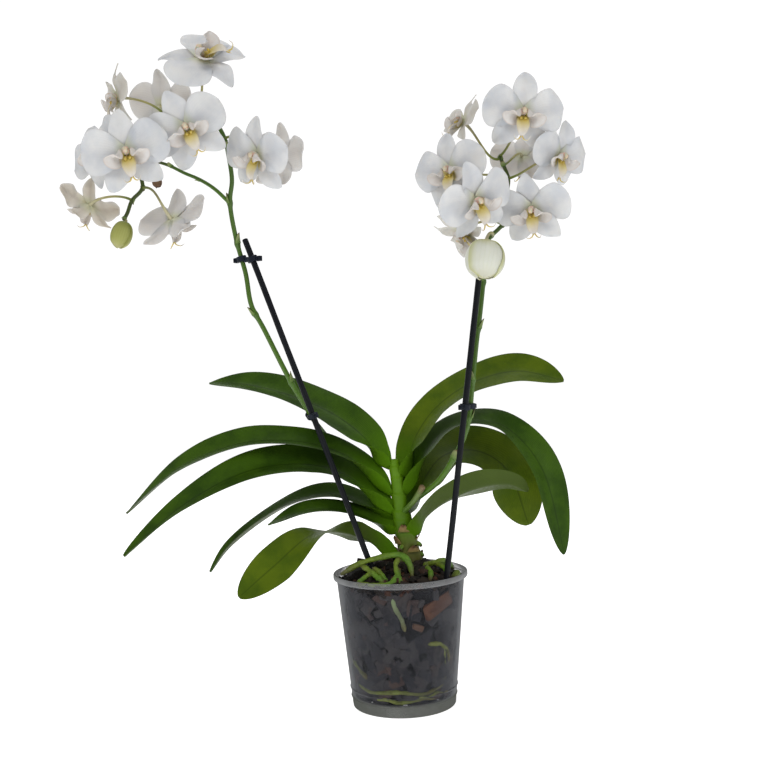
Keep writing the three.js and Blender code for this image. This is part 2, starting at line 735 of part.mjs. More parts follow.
// Loose chips half sunk in the mound: where, size, and turns about X, Y and Z in degrees.
const CHIPS = {
  bark_chip_1: { at: [-36, -12, -5], size: [20, 14, 9], turn: [12, -22, 25] },
  bark_chip_2: { at: [-30, 20, -5], size: [18, 15, 8], turn: [-14, 10, -30] },
  bark_chip_3: { at: [42, 18, -9], size: [15, 12, 7], turn: [8, 20, 40] },
  bark_chip_4: { at: [22, 34, -8], size: [19, 13, 8], turn: [-16, 12, 15] },
};

// A split lump of bark: a box with its corners knocked off.
function chip({ at, size, turn }, grow = 0) {
  const corners = [];
  const [a, b, c] = size.map((s) => s / 2);
  for (const [x, y, z] of [[1, 0.5, 0.6], [0.55, 1, 0.5], [0.6, 0.6, 1]])
    for (const i of [-1, 1]) for (const j of [-1, 1]) for (const k of [-1, 1])
      corners.push([i * a * x * (j > 0 ? 1 : 0.86), j * b * y, k * c * z * (i > 0 ? 1 : 0.8)]);
  const grown = corners.map((p) => p.map((q) => q + Math.sign(q) * grow));
  const place = new THREE.Matrix4().makeRotationFromEuler(new THREE.Euler(...turn.map(deg)));
  place.setPosition(...at);
  return wasm.Manifold.hull(grown).transform(place.elements);
}

const rootCurves = Object.fromEntries(Object.entries(ROOTS).map(([name, p]) => [name, curveThrough(p)]));
const lifted = (made) => made.translate([0, 0, MOUND_TOP]);

const barkCutters = [
  lifted(solid(stem(FIT))),
  ...Object.values(CANES).map((spec) => lifted(solid(cane(spec, FIT)))),
  ...Object.values(rootCurves).map((curve) => lifted(solid(rod(curve, rootRadius, 7, 10, FIT)))),
  ...Object.values(CHIPS).map((spec) => lifted(chip(spec, FIT))),
  ...Object.values(wallRootCurves).map((curve) => solid(wallRoot(curve, FIT))),
];
const barkCut = largest(less(barkBody(), ...barkCutters)).simplify(0.05);
addNode(orchid, "potting_bark", "bark", geometryOf(barkCut));

for (const [name, curve] of Object.entries(rootCurves))
  addNode(plant, name, "root", rod(curve, rootRadius, 7, 10));
for (const [name, curve] of Object.entries(wallRootCurves)) addNode(orchid, name, "root", wallRoot(curve, 0));
for (const [name, spec] of Object.entries(CHIPS)) addNode(plant, name, "bark", geometryOf(chip(spec)));

// ---------------------------------------------------------------- pot
function pot() {
  const { height, rimRadius, baseRadius, wall, lipHeight, floorHeight, padRadius } = POT;
  const under = height - lipHeight;
  const ridge = (z) => [
    [radiusAt(z - 0.8), z - 0.8],
    [radiusAt(z) + 0.7, z],
    [radiusAt(z + 0.8), z + 0.8],
  ];
  const profile = [
    [0, 0],
    [padRadius, 0],
    [baseRadius * 0.6, floorHeight],
    [baseRadius - wall, floorHeight],
    [baseRadius - wall, 0],
    [baseRadius, 0],
    ...ridge(floorHeight),
    ...ridge(floorHeight * 1.9),
    [radiusAt(under), under],
    [rimRadius - 0.8, under],
    [rimRadius, under + 0.8],
    [rimRadius, height - 0.8],
    [rimRadius - 0.8, height],
    [rimRadius - wall - 0.4, height],
    [radiusAt(under - 2) - wall, under - 2],
    [radiusAt(floorHeight + wall) - wall, floorHeight + wall],
    [baseRadius * 0.6, floorHeight + wall],
    [padRadius, wall],
    [0, wall],
  ];
  const body = new THREE.LatheGeometry(profile.map(([r, z]) => new THREE.Vector2(r, z)), ROUND);
  let made = solid(outward(body.rotateX(Math.PI / 2)));
  for (let i = 0; i < POT.slots; i++) {
    const slot = new THREE.BoxGeometry(POT.slotLength, POT.slotWidth, 4 * wall);
    slot.translate(baseRadius * 0.78, 0, floorHeight + wall / 2).rotateZ((2 * Math.PI * i) / POT.slots);
    made = made.subtract(solid(slot));
  }
  return geometryOf(made);
}

addNode(orchid, "nursery_pot", "clear_plastic", pot());

export default orchid;
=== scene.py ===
"""A white moth orchid in a clear nursery pot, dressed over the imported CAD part.

Lengths in the tables are millimetres, in the part's frame, and become metres where a mesh is made.
Plant pieces are measured from the top of the bark's mound, as in the part.
"""

import math

import bmesh
import bpy
import numpy as np
from mathutils import Euler, Matrix, Vector


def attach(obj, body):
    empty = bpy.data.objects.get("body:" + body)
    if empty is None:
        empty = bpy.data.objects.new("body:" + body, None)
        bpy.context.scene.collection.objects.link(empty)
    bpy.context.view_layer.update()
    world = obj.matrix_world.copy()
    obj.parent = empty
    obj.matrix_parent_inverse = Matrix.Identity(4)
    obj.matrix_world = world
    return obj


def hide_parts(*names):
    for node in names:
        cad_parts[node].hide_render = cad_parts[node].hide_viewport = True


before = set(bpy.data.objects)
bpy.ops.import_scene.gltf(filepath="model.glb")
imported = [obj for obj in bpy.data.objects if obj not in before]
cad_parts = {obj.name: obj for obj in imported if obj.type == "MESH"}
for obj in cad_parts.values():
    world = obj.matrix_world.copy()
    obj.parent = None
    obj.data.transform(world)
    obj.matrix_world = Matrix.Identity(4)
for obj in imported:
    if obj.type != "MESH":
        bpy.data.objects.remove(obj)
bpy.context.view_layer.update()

MM = 0.001
MOUND_TOP = 126.0  # height of the bark's mound
POT = dict(height=118.0, rim=60.0, base=46.0, wall=1.2, lip_width=2.4, lip=4.8, floor=9.0, pad=10.0)
FIT = 0.3  # clearance between the pot and what fills it
UP = np.array((0.0, 0.0, 1.0))

# ---------------------------------------------------------------- the plant's shapes, as in the part
LEAVES = {
    "leaf_left_1": dict(
        hand=-1, half=22, wide=0.55, blunt=1.9, fold=18, bank=(10, 30, 30, 24),
        spine=((-5, 4, 84), (-22, 6, 108), (-52, 24, 130), (-90, 39, 148), (-134, 48, 161), (-174, 56, 165)),
    ),
    "leaf_left_2": dict(
        hand=-1, half=20, wide=0.5, blunt=1.7, fold=18, bank=(10, 24, 28, 24),
        spine=(
            (-4, 3, 60), (-24, 3, 84), (-52, 4, 101), (-92, 8, 110), (-141, 12, 109),
            (-197, 20, 89), (-250, 26, 48),
        ),
    ),
    "leaf_left_3": dict(
        hand=-1, half=22, wide=0.4, blunt=1.7, fold=18, bank=(10, 34, 28, 24),
        spine=(
            (-3, 3, 44), (-22, 4, 64), (-50, 8, 82), (-90, 2, 90), (-138, -8, 84), (-190, -20, 58),
            (-240, -30, 18),
        ),
    ),
    "leaf_left_4": dict(
        hand=-1, half=15, wide=0.4, blunt=1.6, fold=20, bank=(10, 22, 20, 18),
        spine=(
            (0, 8, 36), (-26, 18, 50), (-56, 26, 59), (-88, 32, 55), (-120, 38, 40),
            (-157, 42, 13), (-178, 44, -12),
        ),
    ),
    "leaf_left_5": dict(
        hand=-1, half=15, wide=0.45, blunt=1.7, fold=18, bank=(6, 20, 24),
        spine=((0, 2, 27), (-26, 6, 39), (-56, 8, 47), (-88, 8, 46), (-118, 8, 36)),
    ),
    "leaf_left_6": dict(
        hand=-1, half=18, wide=0.76, blunt=1.9, fold=8, bank=(-16, -40, 4, 52, 60),
        spine=((-2, 0, 8), (-22, 1, 20), (-50, -6, 30), (-78, -26, 29), (-108, -44, 8), (-138, -54, -16)),
    ),
    "leaf_right_1": dict(
        hand=1, half=21, wide=0.68, blunt=2.8, fold=14, bank=(10, 26, 38, 40),
        spine=((3, 4, 74), (13, 5, 104), (36, 12, 134), (70, 18, 156), (112, 16, 166), (154, 10, 156)),
    ),
    "leaf_right_2": dict(
        hand=1, half=20, wide=0.6, blunt=1.9, fold=16, bank=(8, 16, 40, 60),
        spine=(
            (4, 4, 58), (18, 5, 88), (42, 10, 113), (70, 12, 122), (102, 12, 114), (132, 8, 74),
            (148, 4, 0),
        ),
    ),
    "leaf_right_3": dict(
        hand=1, half=28, wide=0.68, blunt=2.3, fold=10, bank=(8, 20, 62, 76),
        spine=((7, 8, 42), (20, 18, 66), (44, 33, 90), (78, 43, 92), (106, 46, 70), (122, 42, 22)),
    ),
    "leaf_right_4": dict(
        hand=1, half=19, wide=0.5, blunt=2.2, fold=14, bank=(0, -30, -44, -50),
        spine=((7, -1, 24), (24, -1, 42), (50, -2, 57), (78, 0, 66), (102, 4, 66), (118, 8, 58)),
    ),
}

SPIKES = {
    "left": (
        (-10, 10, 52), (-28, 20, 68), (-50, 27, 90), (-63, 27, 112), (-72, 12, 127), (-79, -3, 142),
        (-93, -5, 168), (-113, -4, 211), (-124, -4, 234), (-128, -4, 262), (-135, -5, 292),
        (-139, -8, 323), (-136, -12, 344), (-138, -14, 365), (-141, -12, 380), (-148, -8, 393),
        (-163, -2, 406), (-184, 2, 410), (-202, 2, 400), (-212, -4, 379), (-217, -10, 357),
        (-214, -16, 339), (-223, -18, 328), (-227, -20, 317), (-230, -22, 311),
    ),
    "right": (
        (16, -4, 56), (36, -10, 72), (50, -14, 92), (60, -18, 112), (65, -20, 130), (68, -21, 154),
        (73, -20, 191), (78, -18, 222), (82, -15, 250), (84, -12, 269), (88, -10, 284), (97, -9, 293),
        (105, -10, 301), (108, -10, 312), (106, -10, 325), (107, -10, 337), (103, -10, 349),
        (100, -10, 357),
    ),
    "branch": (
        (-139, -8, 324), (-152, -8, 337), (-165, -6, 346), (-179, -2, 353), (-193, 4, 361),
        (-205, 8, 366),
    ),
}
SPIKE_RADIUS, SPIKE_TIP, BRANCH_RADIUS = 2.6, 1.7, 1.5

CANES = {
    "left": ((-22, -19, -10), (-127, -10, 292)),
    "right": ((40, -26, -10), (80, -34, 278)),
}
CANE_RADIUS, CANE_BURIED, CANE_TIP = 2.7, 76.0, 9.0
CLIPS = {
    "clip_left_lower": ("left", 134),
    "clip_left_upper": ("left", 274),
    "clip_right_lower": ("right", 138),
    "clip_right_upper": ("right", 266),
}

# Each row: the hub, where it faces, its roll in degrees, its spike and the place along it, its size, and how
# many degrees its petals fall back.
FLOWERS = {
    "flower_left_1": ((-154, -36, 443), (0.1, -0.72, 0.68), 74, ("left", 16), 1.16, 4),
    "flower_left_2": ((-165, -62, 379), (0.1, -0.97, -0.22), 26, ("left", 15.5), 1.02, 4),
    "flower_left_3": ((-213, -75, 358), (0.16, -0.96, -0.2), 12, ("left", 18.6), 1.04, 2),
    "flower_left_4": ((-247, -28, 370), (-0.5, -0.85, 0.15), 40, ("left", 19), 0.95, 6),
    "flower_left_5": ((-234, -8, 420), (-0.88, -0.42, -0.1), 0, ("left", 17.6), 0.9, 2),
    "flower_left_6": ((-203, 26, 420), (0.35, 0.88, 0.2), 8, ("left", 17), 0.95, 4),
    "flower_left_7": ((-109, -42, 358), (-0.56, -0.76, -0.28), -14, ("left", 14), 0.98, 2),
    "flower_left_8": ((-97, 6, 366), (0.55, 0.8, -0.05), 12, ("left", 13.6), 0.88, 4),
    "flower_left_9": ((-182, -54, 305), (0.4, 0.66, -0.6), -14, ("left", 21), 0.96, 4),
    "flower_left_10": ((-257, -30, 323), (-0.6, 0.5, -0.5), 20, ("left", 22), 0.84, 6),
    "flower_right_1": ((117, -44, 386), (0, -0.97, -0.2), -8, ("right", 17), 1, 4),
    "flower_right_2": ((124, 22, 362), (0.3, 0.82, -0.4), 10, ("right", 16), 0.9, 2),
    "flower_right_3": ((69, -8, 388), (-0.8, -0.35, 0.45), 0, ("right", 16.7), 0.84, -6),
    "flower_right_4": ((55, -32, 341), (-0.5, -0.85, -0.1), 8, ("right", 15.4), 0.98, 4),
    "flower_right_5": ((72, -68, 310), (0.42, -0.82, -0.38), 24, ("right", 13), 1, 2),
    "flower_right_6": ((66, -20, 290), (-0.5, -0.3, -0.8), 60, ("right", 11.4), 0.94, -8),
    "flower_right_7": ((149, -26, 352), (0.5, -0.75, -0.35), -6, ("right", 15), 0.9, 2),
    "flower_right_8": ((123, -42, 305), (-0.3, -0.82, -0.45), 2, ("right", 13.3), 0.98, -6),
}
# Each row: as above, then the radius and half the length.
BUDS = {
    "bud_left": ((-231, -28, 297), (-0.3, -0.1, -1), 0, ("left", 24), 9.5, 12.5),
    "bud_right": ((79, -60, 262), (-0.1, -0.2, -1), 0, ("right", 10.3), 16.5, 17),
    "bud_dry": ((-204, -2, 346), (0.2, -0.2, -1), 0, ("branch", 5), 4, 5),
}
FLOWERS = {k: dict(zip(("hub", "facing", "roll", "on", "size", "open"), row)) for k, row in FLOWERS.items()}
BUDS = {k: dict(zip(("hub", "facing", "roll", "on", "radius", "long"), row)) for k, row in BUDS.items()}
PETAL = dict(length=35, half=18, wide=0.62, blunt=2.6, base=0.12)
SEPAL = dict(length=34, half=9.5, wide=0.5, blunt=2.0, base=0.35)
TEPALS = ((90, -1.4, SEPAL), (-52, -1.2, SEPAL), (232, -1.2, SEPAL), (13, 1.0, PETAL), (167, 1.0, PETAL))

ROOTS = {
    "root_arch": ((-52, -18, -6), (-38, -24, 3), (-20, -27, 9), (0, -28, 11), (8, -32, 3), (10, -36, -10)),
    "root_short": ((-24, -30, 1), (-17, -34, -4), (-12, -37, -12)),
    "root_front": ((-40, -38, -11), (-26, -43, -11.5), (-10, -43, -11), (-3, -38, -5), (-1, -33, 0)),
    "root_right": ((20, -8, -3), (30, -14, 1), (40, -10, 1), (48, 2, -8)),
    "root_rim": ((45, -18, -15), (49, -12, -10), (51, -4, -11), (49, 4, -20)),
}
ROOT_RADIUS = 2.4
WALL_ROOTS = {
    "root_wall_1": ((-99, 105), (-97, 97), (-91, 86), (-88, 76)),
    "root_wall_2": ((-66, 63), (-50, 61), (-38, 54), (-33, 42)),
    "root_wall_3": ((-158, 24), (-130, 20), (-98, 22), (-68, 19), (-38, 24)),
    "root_wall_4": ((-168, 46), (-150, 40), (-134, 31)),
    "root_wall_5": ((52, 96), (78, 82), (108, 78), (132, 60)),
    "root_wall_6": ((8, 34), (42, 26), (84, 30), (122, 22)),
}
CHIPS = {
    "bark_chip_1": dict(at=(-36, -12, -5), size=(20, 14, 9), turn=(12, -22, 25)),
    "bark_chip_2": dict(at=(-30, 20, -5), size=(18, 15, 8), turn=(-14, 10, -30)),
    "bark_chip_3": dict(at=(42, 18, -9), size=(15, 12, 7), turn=(8, 20, 40)),
    "bark_chip_4": dict(at=(22, 34, -8), size=(19, 13, 8), turn=(-16, 12, 15)),
}
STEM = ((12, 4, -12), (8, 4, 12), (2, 3, 50.6), (-2, 3, 92))
STEM_FOOT, STEM_TOP, STEM_DEPTH = 9.5, 5.0, 0.72


# ---------------------------------------------------------------- small helpers
def unit(v):
    return v / np.linalg.norm(v)


def lerp(a, b, t):
    return a + (b - a) * t


def smooth(a, b, x):
    """0 below a, 1 above b, an even rise between."""
    t = np.clip((x - a) / (b - a), 0.0, 1.0)
    return t * t * (3 - 2 * t)


def along_list(values, t):
    """The value at share t of a list spread evenly over 0 to 1."""
    return float(np.interp(t * (len(values) - 1), range(len(values)), values))


def turn_about(v, axis, angle):
    """v turned about a unit axis, in radians."""
    kept = axis * axis.dot(v) * (1 - math.cos(angle))
    return v * math.cos(angle) + np.cross(axis, v) * math.sin(angle) + kept


def pot_radius(z):
    """Outer radius of the pot's wall at height z."""
    return POT["base"] + (POT["rim"] - POT["lip_width"] - POT["base"]) * z / POT["height"]


def ray(angle):
    """A level unit vector at an angle in radians."""
    return np.array((math.cos(angle), math.sin(angle), 0))


class Path:
    """A smooth line through points, walked by share of its length."""

    def __init__(self, points, samples=600):
        p = np.array(points, float)
        n = len(p) - 1
        self.count = n
        ends = np.vstack((2 * p[0] - p[1], p, 2 * p[-1] - p[-2]))
        u = np.linspace(0, n, samples + 1)
        i = np.minimum(u.astype(int), n - 1)
        f = (u - i)[:, None]
        a, b, c, d = ends[i], ends[i + 1], ends[i + 2], ends[i + 3]
        self.u = u
        bend, twist = 2 * a - 5 * b + 4 * c - d, 3 * b - a - 3 * c + d
        self.p = 0.5 * (2 * b + (c - a) * f + bend * f**2 + twist * f**3)
        self.s = np.concatenate(([0], np.cumsum(np.linalg.norm(np.diff(self.p, axis=0), axis=1))))
        self.length = self.s[-1]

    def _pick(self, x, table):
        return np.array([np.interp(x, table, self.p[:, k]) for k in range(3)])

    def point(self, t):
        return self._pick(t * self.length, self.s)

    def control(self, index):
        """The point at a place counted in control points."""
        return self._pick(index, self.u)

    def tangent(self, t, reach=0.004):
        return unit(self.point(min(1, t + reach)) - self.point(max(0, t - reach)))

    def control_tangent(self, index):
        return unit(self.control(min(self.count, index + 0.05)) - self.control(max(0, index - 0.05)))


class Shape:
    """Collects the vertices and faces of one piece, with painting values for its material."""

    def __init__(self):
        self.v, self.f, self.across, self.along, self.tag = [], [], [], [], []
        self.count = 0

    def rings(self, rings, across, along, tag=0.0):
        """Skins a row of closed rings and caps its ends. across, along and tag paint the vertices.

        tag is one value, or one for each point of a ring.
        """
        n = len(rings[0])
        start = self.count
        for ring, a in zip(rings, along):
            self.v.extend(ring)
            self.across.extend(across)
            self.along.extend([a] * n)
            self.tag.extend([tag] * n if np.isscalar(tag) else tag)
        self.count += n * len(rings)
        for i in range(len(rings) - 1):
            for j in range(n):
                k = (j + 1) % n
                a, b = start + i * n, start + (i + 1) * n
                self.f.append((a + j, a + k, b + k, b + j))
        self.f.append(tuple(start + j for j in reversed(range(n))))
        self.f.append(tuple(start + (len(rings) - 1) * n + j for j in range(n)))

    def raw(self, vertices, faces, tag=0.0):
        """Adds a ready mesh, with one tag."""
        start = self.count
        self.v.extend(vertices)
        n = len(vertices)
        self.across.extend([0.5] * n)
        self.along.extend([0.5] * n)
        self.tag.extend([tag] * n)
        self.f.extend(tuple(start + i for i in face) for face in faces)
        self.count += n

    def moved(self, matrix):
        """Applies a 4 by 4 matrix, in millimetres."""
        m = np.array(matrix)
        p = np.array(self.v) @ m[:3, :3].T + m[:3, 3]
        self.v = list(p)
        return self

    def build(self, name, material, slot, nodes, flat=False, lift=0.0, sharp=0):
        """Makes the piece, in metres, raised by lift, and hides the parts it stands for. Its slot is not
        used.
        """
        mesh = bpy.data.meshes.new(name)
        points = (np.array(self.v) + np.array((0, 0, lift))) * MM
        mesh.from_pydata(points.tolist(), [], self.f)
        for key, values in (("across", self.across), ("along", self.along), ("tag", self.tag)):
            mesh.attributes.new(key, "FLOAT", "POINT").data.foreach_set("value", np.array(values, np.float32))
        mesh.polygons.foreach_set("use_smooth", [not flat] * len(mesh.polygons))
        mesh.validate()
        bm = bmesh.new()
        bm.from_mesh(mesh)
        bmesh.ops.recalc_face_normals(bm, faces=bm.faces)
        bm.to_mesh(mesh)
        bm.free()
        if sharp:
            mesh.set_sharp_from_angle(angle=math.radians(sharp))
        made = bpy.data.objects.new(name, mesh)
        bpy.context.scene.collection.objects.link(made)
        made.data.materials.append(material)
        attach(made, "root")
        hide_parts(*nodes)
        return made


def tube(shape, path, radius, sides=14, steps=60, oval=1.0):
    """A bar with rounded ends along a path, its frame carried along without twisting."""
    ts = np.linspace(0.0, 1.0, steps + 1)
    tangent = path.tangent(0.0)
    normal = unit(np.cross(tangent, (0.3, 0.5, 0.81)))
    angles = np.linspace(0, 2 * math.pi, sides, endpoint=False)
    rings, alongs = [], []

    def ring(middle, r, normal, tangent):
        other = np.cross(tangent, normal)
        return [middle + r * (math.cos(a) * normal + oval * math.sin(a) * other) for a in angles]

    for i, t in enumerate(ts):
        tangent = path.tangent(t)
        normal = unit(normal - tangent * normal.dot(tangent))
        middle, r = path.point(t), radius(t)
        if i == 0:
            for c in (0.35, 0.75):
                back = tangent * r * (1 - c) * 0.8
                rings.append(ring(middle - back, r * math.sin(c * math.pi / 2), normal, tangent))
                alongs.append(t)
        rings.append(ring(middle, r, normal, tangent))
        alongs.append(t)
        if i == steps:
            for c in (0.75, 0.35):
                on = tangent * r * (1 - c) * 0.8
                rings.append(ring(middle + on, r * math.sin(c * math.pi / 2), normal, tangent))
                alongs.append(t)
    shape.rings(rings, [0.5 + 0.5 * math.sin(a) for a in angles], alongs)


def breadth(t, wide, blunt, base):
    """Share of the full half width at share t: base at the foot, 1 at wide, 0 at the tip."""
    if t < wide:
        return base + (1 - base) * math.sin(t / wide * math.pi / 2)
    return max(0.0, 1 - ((t - wide) / (1 - wide)) ** blunt) ** 0.62


def blade(
    shape, path, half, wide, blunt, base, fold, bank, thick, hand=1, steps=48, rows=8, tag=0.0,
    fold_base=None, wave=0.0, waves=3.0, phase=0.0, curl=0.0, keel=0.5,
):
    """A leaf or petal. The upper face gets tag, the lower one tag + 1.

    fold_base folds its foot more, and sinks it as much. wave ruffles its edges. curl drops them.
    """
    s_up = np.sin(np.linspace(-math.pi / 2, math.pi / 2, 2 * rows + 1))
    s_down = s_up[1:-1][::-1]
    s = np.concatenate((s_up, s_down))
    face = np.concatenate((np.ones(len(s_up)), -np.ones(len(s_down))))
    face[0] = face[len(s_up) - 1] = 0
    body = np.sqrt(np.clip(1 - s**2, 0, 1)) * (1 - keel) + keel * np.exp(-((s / 0.22) ** 2))
    body *= np.clip((1 - np.abs(s)) * 12, 0, 1)
    rings, alongs = [], []
    for i in range(steps + 1):
        x = i / steps
        t = min(0.997, 1 - (1 - x) ** 1.3)
        middle, tangent = path.point(t), path.tangent(t)
        side = np.cross(tangent, UP)
        side = unit(side - tangent * side.dot(tangent))
        side = turn_about(side, tangent, math.radians(hand * along_list(bank, t)))
        up = np.cross(side, tangent)
        w = half * breadth(t, wide, blunt, base) * (1.0 if fold_base is None else smooth(-0.03, 0.07, t))
        f = math.radians(fold if fold_base is None else lerp(fold_base, fold, smooth(0.02, 0.2, t)))
        soft = np.sqrt(s**2 + 0.012) - math.sqrt(0.012)
        swing = waves * 2 * math.pi * t + phase + np.where(s > 0, 0.0, 1.9)
        ruffle = wave * s**2 * np.sin(swing) * smooth(0.15, 0.5, t)
        sink = 0.0 if fold_base is None else 0.5 * w * math.sin(f) * (1 - smooth(0.05, 0.4, t))
        rise = soft * w * math.sin(f) - curl * w * s**2 + ruffle + face * body * thick / 2 - sink
        reach = s * w * math.cos(f)
        rings.append([middle + side * reach[k] + up * rise[k] for k in range(len(s))])
        alongs.append(t)
    tags = [tag + (1.0 if q < 0 else 0.5 if q == 0 else 0.0) for q in face]
    shape.rings(rings, list((s + 1) / 2), alongs, tags)


# ---------------------------------------------------------------- materials
def shader(name, roughness=0.5, **settings):
    """A new material with constants set on its shader; returns the Paint that finishes it."""
    made = bpy.data.materials.new(name)
    made.use_nodes = True
    p = Paint(made)
    p.to("Roughness", roughness)
    for key, value in settings.items():
        p.to(key.replace("_", " ").title().replace("Ior", "IOR"), value)
    return p


class Paint:
    """Short names for building a material's node tree."""

    def __init__(self, material):
        self.material = material
        self.tree = material.node_tree
        self.bsdf = self.tree.nodes["Principled BSDF"]

    def to(self, name, value):
        """Sets or feeds an input of the material's shader."""
        self.put(self.bsdf.inputs[name], value)

    def put(self, socket, value):
        if isinstance(value, bpy.types.NodeSocket):
            self.tree.links.new(value, socket)
        elif isinstance(value, tuple):
            socket.default_value = (*value, 1.0) if len(value) == 3 and socket.type == "RGBA" else value
        else:
            socket.default_value = value

    def value(self, name):
        node = self.tree.nodes.new("ShaderNodeAttribute")
        node.attribute_name = name
        return node.outputs["Fac"]

    def place(self):
        return self.tree.nodes.new("ShaderNodeTexCoord").outputs["Object"]

    def math(self, kind, a, b=0.0, c=0.0):
        node = self.tree.nodes.new("ShaderNodeMath")
        node.operation = kind
        for socket, v in zip(node.inputs, (a, b, c)):
            self.put(socket, v)
        return node.outputs[0]

    def add(self, a, b):
        return self.math("ADD", a, b)

    def times(self, a, b):
        return self.math("MULTIPLY", a, b)

    def off_middle(self, x):
        """How far x is from 0.5."""
        return self.math("ABSOLUTE", self.math("SUBTRACT", x, 0.5))

    def stirred(self, x, noise, amount):
        """x shifted to and fro by a noise."""
        return self.add(x, self.times(self.math("SUBTRACT", noise, 0.5), amount))

    def span(self, x, a, b, low=0.0, high=1.0, kind="SMOOTHSTEP"):
        """x from a to b becomes low to high."""
        node = self.tree.nodes.new("ShaderNodeMapRange")
        node.interpolation_type = kind
        for key, v in (("Value", x), ("From Min", a), ("From Max", b), ("To Min", low), ("To Max", high)):
            self.put(node.inputs[key], v)
        return node.outputs[0]

    def noise(self, scale, detail=3.0, stretch=None, roughness=0.55):
        node = self.tree.nodes.new("ShaderNodeTexNoise")
        node.inputs["Scale"].default_value = scale
        node.inputs["Detail"].default_value = detail
        node.inputs["Roughness"].default_value = roughness
        place = self.place()
        if stretch:
            mapping = self.tree.nodes.new("ShaderNodeMapping")
            mapping.inputs["Scale"].default_value = stretch
            self.tree.links.new(place, mapping.inputs["Vector"])
            place = mapping.outputs[0]
        self.tree.links.new(place, node.inputs["Vector"])
        return node.outputs["Fac"]

    def mix(self, fac, a, b, kind="MIX"):
        node = self.tree.nodes.new("ShaderNodeMix")
        node.data_type = "RGBA"
        node.blend_type = kind
        self.put(node.inputs[0], fac)
        self.put(node.inputs[6], a)
        self.put(node.inputs[7], b)
        return node.outputs[2]

    def bump(self, height, strength, distance):
        node = self.tree.nodes.new("ShaderNodeBump")
        node.inputs["Strength"].default_value = strength
        node.inputs["Distance"].default_value = distance
        self.put(node.inputs["Height"], height)
        self.to("Normal", node.outputs[0])

    def stripes(self, count, sharp=0.25, wobble=0.0, scale=60.0):
        """Lines that run the length of a blade: 1 on a line, 0 between."""
        across = self.value("across")
        if wobble:
            across = self.add(across, self.times(self.noise(scale, 2.0), wobble))
        phase = self.math("FRACT", self.times(across, count))
        return self.span(self.off_middle(phase), 0.0, sharp, 1.0, 0.0)


def leaf_material(name, top, deep, under, fresh, fresh_until=0.26):
    """Waxy green above, paler beneath, fresh green at the foot, with a midrib and fine long veins."""
    p = shader(name, 0.44, specular_ior_level=0.1)
    across, along, tag = p.value("across"), p.value("along"), p.value("tag")
    mottle = p.noise(38.0, 4.0)
    fine = p.noise(420.0, 2.0)
    green = p.mix(p.span(mottle, 0.35, 0.68), top, deep)
    veins = p.stripes(26, 0.42, 0.03)
    green = p.mix(p.times(veins, 0.2), green, tuple(0.6 * c for c in deep))
    # A darker line down the midrib: painted shade in its crease.
    centre = p.off_middle(across)
    rib = p.span(centre, 0.008, 0.03, 1.0, 0.0)
    green = p.mix(p.times(rib, 0.55), green, tuple(0.45 * c for c in deep))
    rim = p.span(centre, 0.47, 0.5)
    green = p.mix(p.times(rim, 0.4), green, under)
    below = p.mix(p.span(mottle, 0.3, 0.7, 0.0, 0.6), under, tuple(0.8 * c for c in under))
    below = p.mix(p.times(veins, 0.22), below, tuple(1.25 * c for c in under))
    colour = p.mix(p.span(tag, 0.3, 0.7), green, below)
    foot = p.math("SUBTRACT", along, p.times(p.math("SUBTRACT", mottle, 0.5), 0.1))
    colour = p.mix(p.span(foot, 0.02, fresh_until, 0.92, 0.0), colour, fresh)
    p.to("Base Color", colour)
    p.to("Roughness", p.span(fine, 0.3, 0.7, 0.34, 0.5))
    relief = p.add(p.times(veins, 0.5), p.times(fine, 0.5))
    p.bump(relief, 0.18, 0.0006)
    return p.material


LEAF = leaf_material(
    "leaf_skin", (0.042, 0.094, 0.005), (0.022, 0.054, 0.004), (0.042, 0.066, 0.012), (0.078, 0.19, 0.003)
)
LEAF_OLIVE = leaf_material(
    "leaf_skin_olive", (0.085, 0.130, 0.005), (0.050, 0.090, 0.004), (0.050, 0.080, 0.010),
    (0.075, 0.18, 0.003), 0.22,
)


def petal_material(name, low, high, back_low, back_high, rim, claw):
    """Matt waxy white with faint long veins, greener at the claw; the back is warmer and more veined."""
    p = shader(name, 0.5, subsurface_weight=0.35, subsurface_scale=0.0022, specular_ior_level=0.35)
    p.to("Subsurface Radius", (1.0, 0.85, 0.7))
    across, along, tag = p.value("across"), p.value("along"), p.value("tag")
    cloud = p.noise(55.0, 3.0)
    white = p.mix(p.span(cloud, 0.3, 0.7), low, high)
    veins = p.stripes(17, 0.2, 0.06, 90.0)
    reach = p.span(along, 0.25, 0.95, 1.0, 0.15)
    white = p.mix(p.times(p.times(veins, reach), 0.16), white, (0.42, 0.41, 0.45))
    back = p.mix(p.times(veins, 0.3), back_high, back_low)
    colour = p.mix(p.times(p.span(tag, 0.3, 0.7), 0.75), white, back)
    colour = p.mix(p.span(along, 0.02, claw, 0.6, 0.0), colour, (0.48, 0.49, 0.25))
    edge = p.span(p.off_middle(across), 0.44, 0.5)
    colour = p.mix(p.times(edge, 0.25), colour, rim)
    p.to("Base Color", colour)
    p.bump(p.add(p.times(veins, 0.4), p.noise(900.0, 2.0)), 0.16, 0.0005)
    return p.material


